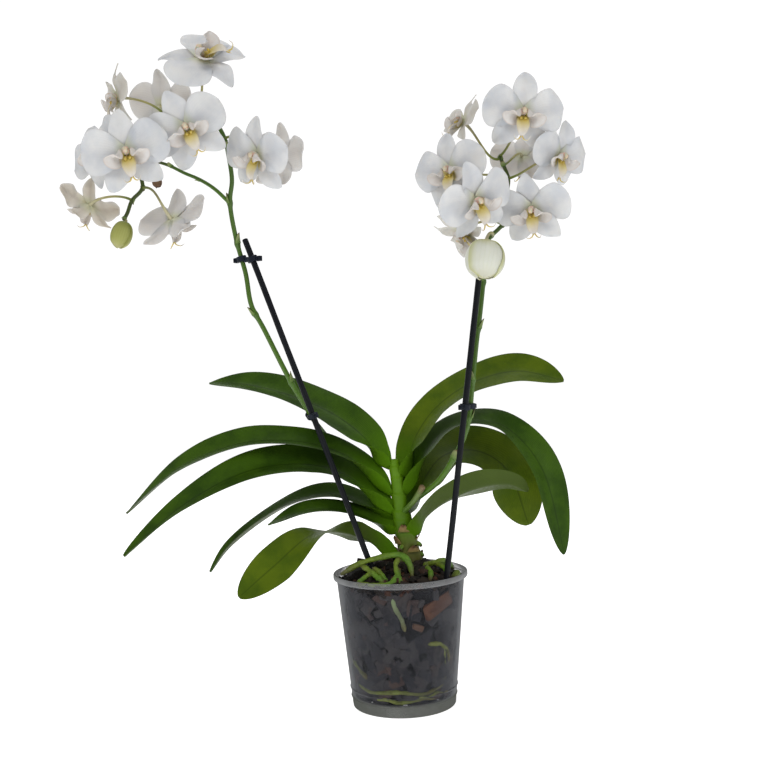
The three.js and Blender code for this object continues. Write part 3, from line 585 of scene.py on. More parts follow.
def lip_material():
    """White lobes, yellow in the throat, with fine red-brown bars and a warm rim.

    tag is 0 and up on the mid lobe, 1 and up on the side ones.
    """
    p = shader("lip_skin", 0.45, subsurface_weight=0.3, subsurface_scale=0.0018, specular_ior_level=0.4)
    p.to("Subsurface Radius", (1.0, 0.85, 0.7))
    along, across = p.value("along"), p.value("across")
    cloud = p.noise(160.0, 3.0)
    white = p.mix(p.span(cloud, 0.3, 0.7), (0.60, 0.58, 0.56), (0.55, 0.51, 0.48))
    depth = p.stirred(along, cloud, 0.25)
    yellow = p.mix(p.value("tag"), (0.52, 0.40, 0.03), (0.54, 0.46, 0.12))
    reach = p.span(p.value("tag"), 0.0, 1.0, 1.0, 0.35, "LINEAR")
    colour = p.mix(p.span(depth, 0.12, reach, 0.9, 0.0), white, yellow)
    bars = p.times(p.stripes(9, 0.16, 0.1, 200.0), p.span(along, 0.1, 0.4, 0.4, 0.0))
    colour = p.mix(bars, colour, (0.36, 0.14, 0.06))
    rim = p.span(p.off_middle(across), 0.4, 0.5)
    colour = p.mix(p.times(rim, 0.35), colour, (0.44, 0.30, 0.22))
    p.to("Base Color", colour)
    p.bump(cloud, 0.15, 0.0006)
    return p.material


def graded_material(name, stops, roughness, speckle=0.18, scale=180.0, relief=0.2, **settings):
    """Colours graded along a piece, broken up by noise. stops is a list of (place, colour)."""
    p = shader(name, roughness, **settings)
    patch = p.noise(scale, 4.0)
    x = p.stirred(p.value("along"), patch, 0.12)
    colour = stops[0][1]
    for (a, _), (b, c) in zip(stops, stops[1:]):
        colour = p.mix(p.span(x, a, b), colour, c)
    dark = p.mix(1.0, colour, (0.55, 0.55, 0.55), "MULTIPLY")
    colour = p.mix(p.times(p.span(patch, 0.4, 0.75), speckle), colour, dark)
    p.to("Base Color", colour)
    p.to("Roughness", p.span(patch, 0.2, 0.8, roughness - 0.06, roughness + 0.1))
    p.bump(p.noise(scale * 4, 3.0), relief, 0.0006)
    return p.material


PETAL_SKIN = petal_material(
    "petal_skin", (0.475, 0.495, 0.525), (0.58, 0.585, 0.585), (0.41, 0.365, 0.34), (0.52, 0.50, 0.48),
    (0.46, 0.43, 0.42), 0.3,
)
AGED_SKIN = petal_material(
    "petal_skin_aged", (0.46, 0.44, 0.40), (0.55, 0.54, 0.50), (0.36, 0.28, 0.235), (0.50, 0.46, 0.40),
    (0.33, 0.25, 0.20), 0.45,
)
LIP_SKIN = lip_material()
COLUMN_SKIN = graded_material(
    "column_skin",
    [(0.0, (0.58, 0.50, 0.36)), (0.5, (0.60, 0.54, 0.48)), (1.0, (0.56, 0.34, 0.24))],
    0.42, 0.1, subsurface_weight=0.3, subsurface_scale=0.0015,
)
PEDICEL_SKIN = graded_material(
    "pedicel_skin", [(0.0, (0.46, 0.43, 0.28)), (0.45, (0.34, 0.31, 0.12)), (1.0, (0.12, 0.16, 0.02))], 0.45
)
SPIKE_SKIN = graded_material(
    "spike_skin",
    [(0.0, (0.070, 0.16, 0.008)), (0.6, (0.045, 0.105, 0.006)), (1.0, (0.042, 0.066, 0.008))],
    0.42,
)
STEM_SKIN = graded_material(
    "stem_skin",
    [
        (0.0, (0.07, 0.045, 0.015)), (0.2, (0.10, 0.11, 0.02)), (0.45, (0.075, 0.17, 0.004)),
        (1.0, (0.095, 0.21, 0.004)),
    ],
    0.42, 0.3, 120.0, specular_ior_level=0.2,
)
BRACT_SKIN = graded_material(
    "bract_skin",
    [(0.0, (0.10, 0.18, 0.03)), (0.7, (0.24, 0.28, 0.11)), (1.0, (0.16, 0.10, 0.045))],
    0.6,
)
STUB_SKIN = graded_material(
    "stub_skin",
    [(0.0, (0.07, 0.16, 0.01)), (0.75, (0.12, 0.18, 0.04)), (1.0, (0.16, 0.11, 0.05))],
    0.5, 0.4,
)
ROOT_SKIN = graded_material(
    "root_skin",
    [
        (0.0, (0.10, 0.10, 0.02)), (0.3, (0.13, 0.19, 0.012)), (0.75, (0.085, 0.19, 0.008)),
        (1.0, (0.08, 0.065, 0.018)),
    ],
    0.5, 0.85, 240.0, 0.8,
)
PALE_ROOT_SKIN = graded_material(
    "pale_root_skin",
    [(0.0, (0.26, 0.34, 0.17)), (0.6, (0.22, 0.26, 0.13)), (1.0, (0.20, 0.19, 0.07))],
    0.6, 0.5, 120.0, 0.4,
)
OLD_ROOT_SKIN = graded_material(
    "old_root_skin",
    [(0.0, (0.22, 0.25, 0.06)), (0.5, (0.17, 0.20, 0.04)), (1.0, (0.13, 0.11, 0.03))],
    0.65, 0.85, 190.0, 0.6,
)


def bud_material(name, foot, cheek, tip, rim, veined):
    """Closed sepals: darker at foot and edges, with faint long veins."""
    p = shader(name, 0.45, subsurface_weight=0.25, subsurface_scale=0.0025, specular_ior_level=0.3)
    p.to("Subsurface Radius", (1.0, 0.9, 0.6))
    across, patch = p.value("across"), p.noise(75.0, 4.0)
    along = p.stirred(p.value("along"), patch, 0.25)
    colour = p.mix(p.span(along, 0.05, 0.4), foot, cheek)
    colour = p.mix(p.span(along, 0.6, 1.0), colour, tip)
    veins = p.stripes(11, 0.22, 0.08, 90.0)
    colour = p.mix(p.times(veins, veined), colour, rim)
    edge = p.span(p.off_middle(across), 0.3, 0.49)
    colour = p.mix(p.times(edge, 0.6), colour, rim)
    p.to("Base Color", colour)
    p.bump(p.add(veins, patch), 0.2, 0.0008)
    return p.material


BUD_SKIN = bud_material(
    "bud_skin", (0.22, 0.25, 0.04), (0.33, 0.34, 0.10), (0.40, 0.38, 0.18), (0.20, 0.22, 0.03), 0.2,
)
BIG_BUD_SKIN = bud_material(
    "big_bud_skin", (0.42, 0.41, 0.12), (0.60, 0.61, 0.53), (0.54, 0.53, 0.42), (0.40, 0.41, 0.12),
    0.06,
)
DRY_PAPER = graded_material(
    "dry_paper",
    [(0.0, (0.17, 0.14, 0.03)), (0.5, (0.24, 0.16, 0.06)), (1.0, (0.11, 0.055, 0.02))],
    0.8, 0.5, 220.0, 0.5,
)
DRY_SKIN = graded_material(
    "dry_skin",
    [(0.0, (0.24, 0.15, 0.08)), (1.0, (0.12, 0.065, 0.035))],
    0.85, 0.5, 300.0, 0.6,
)


def plastic_material(name, base, roughness, relief=0.12, scale=500.0):
    """Moulded or coated plastic: faint mottling, scuffs and a fine skin."""
    p = shader(name, roughness, specular_ior_level=0.16)
    scuff = p.noise(70.0, 5.0, (1.0, 1.0, 0.25))
    p.to("Base Color", p.mix(p.span(scuff, 0.45, 0.72, 0.0, 0.6), base, tuple(1.9 * c + 0.004 for c in base)))
    p.to("Roughness", p.span(scuff, 0.3, 0.7, roughness - 0.08, roughness + 0.14))
    p.bump(p.noise(scale, 3.0), relief, 0.0004)
    return p.material


CANE_SKIN = plastic_material("cane_skin", (0.004, 0.005, 0.007), 0.42, 0.3, 260.0)
CLIP_SKIN = plastic_material("clip_skin", (0.008, 0.011, 0.018), 0.36)


def pot_material():
    """Thin clear plastic, a little milky, clearer and cloudier in patches, with painted sheen at a slant."""
    p = shader("pot_skin", 0.35, specular_ior_level=0.0)
    haze = p.noise(26.0, 7.0, None, 0.68)
    scuffs = p.noise(160.0, 4.0, (1.0, 1.0, 0.25), 0.7)
    height = p.tree.nodes.new("ShaderNodeSeparateXYZ")
    p.tree.links.new(p.place(), height.inputs[0])
    z = height.outputs["Z"]
    # foot is painted shade: a grey, nearly opaque band below the raised floor, for the shadowed skirt under
    # it.
    foot, lip = p.span(z, 0.0095, 0.012, 1.0, 0.0), p.span(z, 0.1115, 0.114)
    # Painted reflection: with the shader's gloss set to none, the wall is painted lighter where it is seen at
    # a slant.
    slant = p.tree.nodes.new("ShaderNodeLayerWeight")
    slant.inputs["Blend"].default_value = 0.5
    edge = p.math("POWER", slant.outputs["Facing"], 2.0)
    alpha = p.add(p.span(haze, 0.36, 0.66, 0.1, 0.32), p.span(scuffs, 0.55, 0.8, 0.0, 0.1))
    # More opaque at the foot, as painted shade, and at the lip.
    alpha = p.add(alpha, p.add(p.times(foot, 0.62), p.times(lip, 0.32)))
    # More opaque at a slant, as part of the painted reflection.
    alpha = p.add(alpha, p.times(edge, 1.4))
    clear = p.times(p.value("tag"), p.math("SUBTRACT", 1.0, foot))
    alpha = p.times(p.math("MINIMUM", alpha, 0.94), p.math("SUBTRACT", 1.0, clear))
    milk = p.mix(p.span(haze, 0.3, 0.7), (0.034, 0.037, 0.046), (0.062, 0.065, 0.075))
    # Lighter at the lip, and lighter at a slant as painted reflection.
    milk = p.mix(p.math("MAXIMUM", lip, edge), milk, (0.24, 0.245, 0.25))
    # Grey at the foot, as painted shade.
    p.to("Base Color", p.mix(foot, milk, p.mix(haze, (0.072, 0.078, 0.066), (0.14, 0.143, 0.136))))
    p.to("Alpha", alpha)
    p.to("Roughness", p.span(scuffs, 0.3, 0.7, 0.3, 0.45))
    p.bump(p.noise(30.0, 2.0), 0.05, 0.0006)
    return p.material


POT_SKIN = pot_material()


def bark_material(name, dark, brown, red):
    """Split bark: each chip its own brown, with fibres and pale scraped flecks."""
    p = shader(name, 0.85, specular_ior_level=0.25)
    chip = p.value("tag")
    fibre = p.noise(240.0, 5.0, (1.0, 0.35, 1.6), 0.7)
    crumb = p.noise(70.0, 6.0, None, 0.7)
    colour = p.mix(p.span(chip, 0.1, 0.7), dark, brown)
    colour = p.mix(p.span(chip, 0.86, 0.97), colour, red)
    colour = p.mix(p.span(crumb, 0.5, 0.75, 0.0, 0.7), colour, tuple(0.35 * c for c in dark))
    colour = p.mix(p.span(fibre, 0.62, 0.8, 0.0, 0.5), colour, (0.22, 0.19, 0.16))
    p.to("Base Color", colour)
    p.to("Roughness", p.span(crumb, 0.3, 0.7, 0.62, 0.95))
    p.bump(p.add(fibre, crumb), 0.7, 0.0012)
    return p.material


BARK_SKIN = bark_material("bark_skin", (0.008, 0.007, 0.006), (0.030, 0.022, 0.017), (0.07, 0.030, 0.018))
RED_SKIN = bark_material("red_bark_skin", (0.090, 0.044, 0.028), (0.135, 0.066, 0.042), (0.18, 0.11, 0.07))
# Wall chips: lighter and greyer, as painted light standing for the pot wall's milky haze lit in front of
# them.
HAZE_PAINTED_SKIN = bark_material(
    "bark_skin_painted_haze", (0.027, 0.027, 0.032), (0.060, 0.056, 0.058), (0.080, 0.054, 0.048),
)
# The core behind the chips: painted shade, darker than the chips, for the gaps between them.
CORE_SHADE_SKIN = bark_material(
    "bark_core_painted_shade", (0.006, 0.005, 0.005), (0.014, 0.011, 0.009), (0.03, 0.018, 0.012),
)


# ---------------------------------------------------------------- pot
def box(shape, size, matrix, bevel):
    """A box with its edges taken off, placed by a 4 by 4 matrix."""
    bm = bmesh.new()
    bmesh.ops.create_cube(bm, size=1)
    bmesh.ops.scale(bm, vec=size, verts=bm.verts)
    bmesh.ops.bevel(bm, geom=bm.edges[:], offset=bevel, segments=2, affect="EDGES", profile=0.5)
    points = [np.array(matrix @ v.co) for v in bm.verts]
    shape.raw(points, [[v.index for v in f.verts] for f in bm.faces])
    bm.free()


def pot():
    """A turned shell with a rolled lip and two ridges, and eight slots through its raised floor."""
    height, wall, floor_z, pad = POT["height"], POT["wall"], POT["floor"], POT["pad"]
    rim, base = POT["rim"], POT["base"]
    under = height - POT["lip"]
    slot_in, slot_out = base * 0.78 - 6.5, base * 0.78 + 6.5
    profile = [(pad, 0), (base * 0.6, floor_z), (slot_in, floor_z), (slot_out, floor_z)]
    profile.append((base - wall, floor_z))
    bottom = 2  # the row of faces from slot_in to slot_out, on the underside
    profile += [(base - wall, 0.3), (base - wall + 0.3, 0), (base - 0.3, 0), (base, 0.4)]
    for z in np.arange(2, 22, 0.5):
        ridge = sum(0.7 * math.exp(-(((z - c) / 0.5) ** 2)) for c in (floor_z, floor_z * 1.9))
        profile.append((pot_radius(z) + ridge, z))
    profile += [(pot_radius(z), z) for z in np.linspace(24, under - 1.4, 16)]
    profile += [(pot_radius(under) + 0.1, under - 0.5), (pot_radius(under) + 0.6, under), (rim - 1.0, under)]
    profile += [(rim - 0.3, under + 0.3), (rim, under + 1.0), (rim, height - 1.0), (rim - 0.3, height - 0.3)]
    profile += [(rim - 1.0, height), (rim - wall - 0.2, height)]
    inner = len(profile)  # where the inner face starts, which carries no haze of its own
    profile += [(rim - wall - 0.7, height - 0.4), (pot_radius(under) - wall + 0.4, under + 0.4)]
    profile.append((pot_radius(under - 2) - wall, under - 2))
    profile += [(pot_radius(z) - wall, z) for z in np.linspace(under - 6, floor_z + wall + 1.0, 18)]
    profile.append((pot_radius(floor_z) - wall - 0.8, floor_z + wall))
    top = len(profile)  # the same row on the floor's upper side
    profile += [(slot_out, floor_z + wall), (slot_in, floor_z + wall), (base * 0.6, floor_z + wall)]
    profile.append((pad, wall))
    sides, step = 128, 2 * math.pi / 128
    points = [(r * math.cos(j * step), r * math.sin(j * step), z) for r, z in profile for j in range(sides)]
    open_at = {(16 * i + d) % sides for i in range(8) for d in (-1, 0)}
    faces = [tuple(reversed(range(sides))), tuple((len(profile) - 1) * sides + j for j in range(sides))]
    for i in range(len(profile) - 1):
        for j in range(sides):
            k = (j + 1) % sides
            if i not in (bottom, top) or j not in open_at:
                faces.append((i * sides + j, i * sides + k, (i + 1) * sides + k, (i + 1) * sides + j))
    for i in range(8):
        a, b, c = [(16 * i + d) % sides for d in (-1, 0, 1)]
        ring_in, ring_out = [[row * sides + j for j in (a, b, c)] for row in (bottom, bottom + 1)]
        over_out, over_in = [[row * sides + j for j in (a, b, c)] for row in (top, top + 1)]
        for k in (0, 1):
            faces.append((ring_in[k], ring_in[k + 1], over_in[k + 1], over_in[k]))
            faces.append((ring_out[k], ring_out[k + 1], over_out[k + 1], over_out[k]))
        for k in (0, 2):
            faces.append((ring_in[k], ring_out[k], over_out[k], over_in[k]))
    shape = Shape()
    shape.raw(points, faces)
    shape.tag[inner * sides :] = [1.0] * (len(points) - inner * sides)
    shape.build("pot_shell", POT_SKIN, "clear_plastic", ["nursery_pot"], sharp=50)


pot()


# ---------------------------------------------------------------- bark
BARK_TOP_RADIUS = pot_radius(110) - POT["wall"] - FIT


def mound_height(r, a):
    """Height of the lumpy mound at a radius and an angle."""
    share = r / BARK_TOP_RADIUS
    fall = max(0.0, (share - 0.35) / 0.65)
    lumps = math.sin(3 * a + 5 * share) * math.sin(7 * share) + 0.5 * math.sin(7 * a - 9 * share)
    return MOUND_TOP - 16 * fall**1.2 + 0.9 * lumps * share


def splinter(rng, size):
    """Points of one split lump, about its own middle."""
    a, b, c = size
    corners = []
    for x in (-1, 1):
        for y in (-1, 1):
            for z in (-1, 1):
                skew = rng.uniform(0.62, 1.0, 3)
                corners.append((0.5 * a * x * skew[0], 0.5 * b * y * skew[1], 0.5 * c * z * skew[2]))
    for _ in range(6):
        u = rng.normal(size=3)
        u /= np.abs(u).max()
        corners.append((0.5 * a * u[0] * 0.95, 0.5 * b * u[1] * 0.95, 0.5 * c * u[2]))
    return np.array(corners)


def kept_within(points, limit):
    """Points drawn in towards the pot's axis wherever they pass a limit."""
    points[:, :2] *= np.minimum(1, limit / np.hypot(points[:, 0], points[:, 1]))[:, None]
    return points


def hull_into(shape, points, tag):
    """The convex hull of some points, its edges taken off."""
    bm = bmesh.new()
    for p in points:
        bm.verts.new(p)
    made = bmesh.ops.convex_hull(bm, input=bm.verts)
    spare = made["geom_interior"] + made["geom_unused"]
    loose = list({g for g in spare if isinstance(g, bmesh.types.BMVert)})
    bmesh.ops.delete(bm, geom=loose, context="VERTS")
    bmesh.ops.bevel(
        bm, geom=bm.edges[:], offset=0.3, segments=1, affect="EDGES", profile=0.5, clamp_overlap=True
    )
    bm.verts.index_update()
    shape.raw([np.array(v.co) for v in bm.verts], [[v.index for v in f.verts] for f in bm.faces], tag=tag)
    bm.free()


# Red chips seen through the wall: each one's angle in degrees, height, size and lean.
RED_CHIPS = ((-52, 95, (36, 15, 6), 22), (-75, 78, (12, 6, 5), -22), (150, 70, (22, 12, 6), 40))


def bark_core(rng):
    """The dark mass behind the chips: bark, painted darker than they are as shade in the gaps between them.
    """
    core = Shape()
    profile = [(4, 2.0), (10, 2.0), (28, 11.0), (44, 11.0)]
    profile += [(pot_radius(z) - POT["wall"] - 2.4, z) for z in np.linspace(12, 108, 24)]
    angles = np.linspace(0, 2 * math.pi, 96, endpoint=False)
    rings = [[np.array((r * math.cos(a), r * math.sin(a), z)) for a in angles] for r, z in profile]
    for share in np.linspace(0.94, 0.06, 24):
        r = BARK_TOP_RADIUS * share
        rings.append([np.array((r * math.cos(a), r * math.sin(a), mound_height(r, a) - 3.4)) for a in angles])
    jitter = rng.uniform(-1.2, 0.4, (len(rings), len(angles)))
    rings = [[p + unit(p * (1, 1, 0.001)) * d for p, d in zip(ring, row)] for ring, row in zip(rings, jitter)]
    core.rings(rings, list((np.sin(angles) + 1) / 2), list(np.linspace(0, 1, len(rings))))
    core.build("bark_core", CORE_SHADE_SKIN, "bark", ["potting_bark"])


def by_red_chip(a, z):
    """Whether a place on the wall is where a red chip lies."""
    turns = [(abs(math.remainder(a - math.radians(d), 2 * math.pi)), abs(z - h)) for d, h, _, _ in RED_CHIPS]
    return any(turn < 0.3 and rise < 9 for turn, rise in turns)


def flat_on_wall(a):
    """A turn that lays a chip's length and breadth against the wall at angle a."""
    return Matrix.Rotation(a, 3, "Z") @ Matrix.Rotation(math.pi / 2, 3, "Y")


def wall_chips(rng):
    """Chips seen through the pot's wall, spread evenly round it and up it."""
    chips = Shape()
    for i in range(560):
        a = 2 * math.pi * ((i * 0.569840) % 1.0) + rng.uniform(-0.1, 0.1)
        z = 13 + 94 * ((i * 0.754878) % 1.0)
        if by_red_chip(a, z):
            continue
        length = rng.uniform(7, 20)
        size = np.array((length, length * rng.uniform(0.45, 0.8), rng.uniform(3.0, 6.0)))
        turn = Matrix.Rotation(rng.uniform(0, 2 * math.pi), 3, "Z")
        turn = flat_on_wall(a) @ (turn @ Matrix.Rotation(rng.uniform(-0.25, 0.25), 3, "X"))
        depth = size[2] * 0.45 + rng.uniform(0.9, 2.1)
        middle = ray(a) * (pot_radius(z) - POT["wall"] - depth) + (0, 0, z)
        points = splinter(rng, size) @ np.array(turn).T + middle
        points = kept_within(points, pot_radius(points[:, 2]) - POT["wall"] - 1.2)
        points[:, 2] = np.clip(points[:, 2], 11.0, 112.0)
        hull_into(chips, points, rng.uniform(0, 1))
    # Their skin paints the lit haze of the wall onto them.
    chips.build("bark_wall_chips", HAZE_PAINTED_SKIN, "bark", ["potting_bark"], flat=True)


def mound_chips(rng):
    """Chips over the mound, in a sunflower's spiral."""
    chips = Shape()
    count = 430
    for i in range(count):
        a = i * 2.399963
        r = BARK_TOP_RADIUS * math.sqrt((i + 0.5) / count) * 0.97
        length = rng.uniform(5, 15)
        size = np.array((length, length * rng.uniform(0.4, 0.8), rng.uniform(2.5, 5.5)))
        turn = Euler((rng.normal(0, 0.35), rng.normal(0, 0.35), rng.uniform(0, 6.3))).to_matrix()
        middle = ray(a) * r + (0, 0, mound_height(r, a) - 2.2 + rng.uniform(-0.8, 1.4))
        points = splinter(rng, size) @ np.array(turn).T + middle
        points = kept_within(points, pot_radius(np.minimum(points[:, 2], 112)) - POT["wall"] - 0.3)
        hull_into(chips, points, rng.uniform(0, 1))
    chips.build("bark_chips", BARK_SKIN, "bark", ["potting_bark"], flat=True)


def red_chips(rng):
    """A few large red chips against the wall."""
    chips = Shape()
    for degrees, z, size, lean in RED_CHIPS:
        a = math.radians(degrees)
        turn = flat_on_wall(a) @ Matrix.Rotation(math.pi / 2 + math.radians(lean), 3, "Z")
        points = splinter(rng, np.array(size, float)) @ np.array(turn).T
        points += ray(a) * (pot_radius(z) - POT["wall"] - 2.6) + (0, 0, z)
        points = kept_within(points, pot_radius(points[:, 2]) - POT["wall"] - 0.25)
        hull_into(chips, points, rng.uniform(0, 1))
    chips.build("bark_red_chips", RED_SKIN, "bark", ["potting_bark"], flat=True)


def bark():
    rng = np.random.default_rng(7)
    bark_core(rng)
    wall_chips(rng)
    mound_chips(rng)
    red_chips(rng)
    for k, (name, spec) in enumerate(CHIPS.items()):
        shape = Shape()
        points = splinter(rng, np.array(spec["size"], float))
        turn = Euler([math.radians(d) for d in spec["turn"]]).to_matrix()
        hull_into(shape, points @ np.array(turn).T + np.array(spec["at"]), 0.25 + 0.15 * k)
        shape.build(f"{name}_split", BARK_SKIN, "bark", [name], flat=True, lift=MOUND_TOP)


bark()


# ---------------------------------------------------------------- roots
def root(name, path, thick, seed, material, lift=0.0, steps=64, beside=()):
    """One root, with thinner ones beside it: each a path and a share of its thickness."""
    rng = np.random.default_rng(seed)
    bumps = rng.uniform(0, 2 * math.pi, 3)

    def radius(t):
        taper = min(1, 0.45 + 5 * t, 0.45 + 5 * (1 - t))
        waves = zip((0.1, 0.08, 0.05), (9, 23, 51), bumps)
        return thick * taper * (1 + sum(high * math.sin(pace * t + bump) for high, pace, bump in waves))

    shape = Shape()
    tube(shape, path, radius, 18, steps, oval=rng.uniform(0.86, 1.0))
    for extra, share in beside:
        tube(shape, extra, lambda t: radius(t) * share, 14, steps)
    shape.build(f"{name}_skin", material, "root", [name], lift=lift)


MOUND_ROOTLETS = {
    "root_arch": [
        (Path(((-34, -24, 2), (-28, -32, 0), (-20, -38, -6), (-14, -42, -11))), 0.9),
        (Path(((0, -27, 9), (-4, -34, 4), (-2, -40, -6), (2, -44, -13))), 0.85),
    ],
    "root_short": [(Path(((-22, -31, -1), (-30, -36, -5), (-38, -38, -11))), 0.8)],
    "root_right": [
        (Path(((24, -10, 0), (22, -19, -1), (26, -28, -5), (25, -36, -10))), 0.85),
        (Path(((31, -13, 0), (38, -22, -2), (42, -27, -9))), 0.75),
    ],
}
for i, (name, points) in enumerate(ROOTS.items()):
    beside = MOUND_ROOTLETS.get(name, ())
    root(name, Path(points), ROOT_RADIUS * 1.12, 30 + i, ROOT_SKIN, MOUND_TOP, beside=beside)


def on_wall(points, depth=0.9):
    """A path pressed against the inside of the pot's wall, through angles in degrees and heights."""
    closer = []
    for a, b in zip(points, points[1:]):
        closer += [a, (lerp(a[0], b[0], 0.5), lerp(a[1], b[1], 0.5))]
    closer.append(points[-1])
    placed = []
    for angle, z in closer:
        r = pot_radius(z) - POT["wall"] - FIT - ROOT_RADIUS * depth
        placed.append((r * math.cos(math.radians(angle)), r * math.sin(math.radians(angle)), z))
    return Path(placed)


ROOTLETS = {
    "root_wall_3": [
        (on_wall(((-128, 14), (-112, 15), (-98, 12.6), (-84, 13.4), (-70, 15), (-52, 13))), 0.8),
        (on_wall(((-80, 17), (-66, 16), (-50, 18), (-30, 15))), 0.6),
    ],
    "root_wall_2": [(on_wall(((-44, 60), (-41, 48), (-39, 34), (-40, 24))), 0.5)],
}
for i, (name, points) in enumerate(WALL_ROOTS.items()):
    skin = PALE_ROOT_SKIN if name == "root_wall_1" else OLD_ROOT_SKIN
    root(name, on_wall(points), ROOT_RADIUS * 0.86, 50 + i, skin, beside=ROOTLETS.get(name, ()))


# ---------------------------------------------------------------- stem
def stem_radius(t):
    return lerp(STEM_FOOT, STEM_TOP, t) * (1 + 0.22 * math.sin(math.pi * min(1, t * 1.6)))


def stem():
    """An oval column ringed by leaf bases, lumpy and brown at the foot."""
    path = Path(STEM)
    rng = np.random.default_rng(3)
    lumps = rng.uniform(0, 6.28, 6)
    joints = [(spec["spine"][0][2], spec["hand"]) for spec in LEAVES.values()]
    shape = Shape()
    angles = np.linspace(0, 2 * math.pi, 48, endpoint=False)
    rings = []
    count = 120
    for i in range(count + 1):
        t = i / count
        middle = path.point(t)
        r = stem_radius(t)
        ring = []
        for a in angles:
            grow = 0.0
            for z, hand in joints:
                under = (z + 1.5 - middle[2]) / 13.0
                if 0 < under < 1:
                    facing = 0.5 + 0.5 * hand * math.cos(a)
                    grow = max(grow, 1.3 * (1 - under) * (0.35 + 0.65 * facing))
            foot = 1 - smooth(0.1, 0.42, t)
            phases = (3 * a + lumps[0], 5 * a + 14 * t + lumps[1], 2 * a - 21 * t + lumps[2])
            size = r + grow - 0.7 + foot * 0.75 * sum(math.sin(phase) for phase in phases)
            ring.append(middle + ray(a) * size * (1, STEM_DEPTH, 0))
        rings.append(ring)
    shape.rings(rings, list((np.sin(angles) + 1) / 2), list(np.linspace(0, 1, count + 1)))
    shape.build("stem_column", STEM_SKIN, "stem", ["stem"], lift=MOUND_TOP)


stem()


def old_sheaths():
    """Dry remains of shed leaves, and knobs of young roots, round the stem's foot."""
    path = Path(STEM)
    rng = np.random.default_rng(21)
    papers, knobs = Shape(), Shape()
    for k in range(9):
        t = 0.16 + 0.035 * k
        a = 2.4 * k + 0.4
        middle = path.point(t)
        r = stem_radius(t)
        tall, spread = rng.uniform(3.5, 7.5), rng.uniform(0.3, 0.6)
        rings = []
        for i in range(9):
            u = i / 8
            arc = a + np.linspace(-1, 1, 9) * spread * (1 - 0.75 * u**1.5)
            off = 0.9 + 1.8 * u**2 + 0.4 * math.sin(5 * u + k)
            rise = u * tall - 3 + 0.8 * np.sin(np.linspace(0, 9, 9) + k) * u
            sheet = []
            for out in (off + 0.35, off):
                across = ((r + out) * np.cos(arc), (r * STEM_DEPTH + out) * np.sin(arc), rise)
                sheet.append(list(middle + np.stack(across, 1)))
            rings.append(sheet[0] + sheet[1][::-1])
        papers.rings(rings, [0.5] * 18, list(np.linspace(0, 1, 9)))
    for k in range(7):
        t = 0.12 + 0.03 * k
        a = 2.1 * k + 2.0
        middle = path.point(t) + (0, 0, rng.uniform(-2, 3))
        r = lerp(STEM_FOOT, STEM_TOP, t) * 1.12
        out = np.array((math.cos(a), 0.8 * math.sin(a), -0.25))
        foot = middle + ray(a) * r * (1, STEM_DEPTH, 0) * 0.75
        line = Path((foot, foot + out * 3.2, foot + out * rng.uniform(5, 7) + (0, 0, -1.5)))
        tube(knobs, line, lambda t: 2.3 * (1 - 0.35 * t), 12, 14)
    papers.build("stem_papers", DRY_PAPER, "dry", ["stem"], lift=MOUND_TOP)
    knobs.build("stem_knobs", ROOT_SKIN, "root", ["stem"], lift=MOUND_TOP)


old_sheaths()


# ---------------------------------------------------------------- leaves
OLIVE = ("leaf_right_1", "leaf_right_3", "leaf_right_4", "leaf_left_6")
for i, (name, spec) in enumerate(LEAVES.items()):
    shape = Shape()
    blade(
        shape, Path(spec["spine"]), spec["half"], spec["wide"], spec["blunt"],
        0.86, spec["fold"] + 7, spec["bank"], 2.2,
        hand=spec["hand"], steps=72, rows=10, fold_base=70, wave=1.2, waves=1.6, phase=1.7 * i, curl=0.03,
    )
    shape.build(f"{name}_blade", LEAF_OLIVE if name in OLIVE else LEAF, "leaf", [name], lift=MOUND_TOP)


# ---------------------------------------------------------------- flower spikes
SPIKE_PATHS = {side: Path(points) for side, points in SPIKES.items()}
NODES = {"left": (96, 163, 225, 288, 324), "right": (92, 128, 161, 205, 246), "branch": ()}


def share_at_height(path, z):
    """The first share of a path's length at which it passes a height."""
    index = int(np.argmax(path.p[:, 2] > z))
    return path.s[index] / path.length


def bract(shape, path, t, radius, length, turn):
    """A scale that hugs the spike from t upwards, wide at its foot and pointed."""
    tangent = path.tangent(t)
    normal = unit(np.cross(tangent, (0.31, 0.52, 0.8)))
    other = np.cross(tangent, normal)
    rings = []
    for i in range(9):
        u = i / 8
        middle = path.point(min(1, t + u * length / path.length))
        spread = math.radians(105) * (1 - u) ** 0.6 + 0.04
        off = radius + 0.15 + 0.9 * u**2
        arc = np.linspace(-spread, spread, 9)
        around = [math.cos(turn + a) * normal + math.sin(turn + a) * other for a in arc]
        ring = [middle + v * (off + 0.35) for v in around] + [middle + v * off for v in reversed(around)]
        rings.append(ring)
    shape.rings(rings, [0.5] * 18, list(np.linspace(0, 1, 9)))


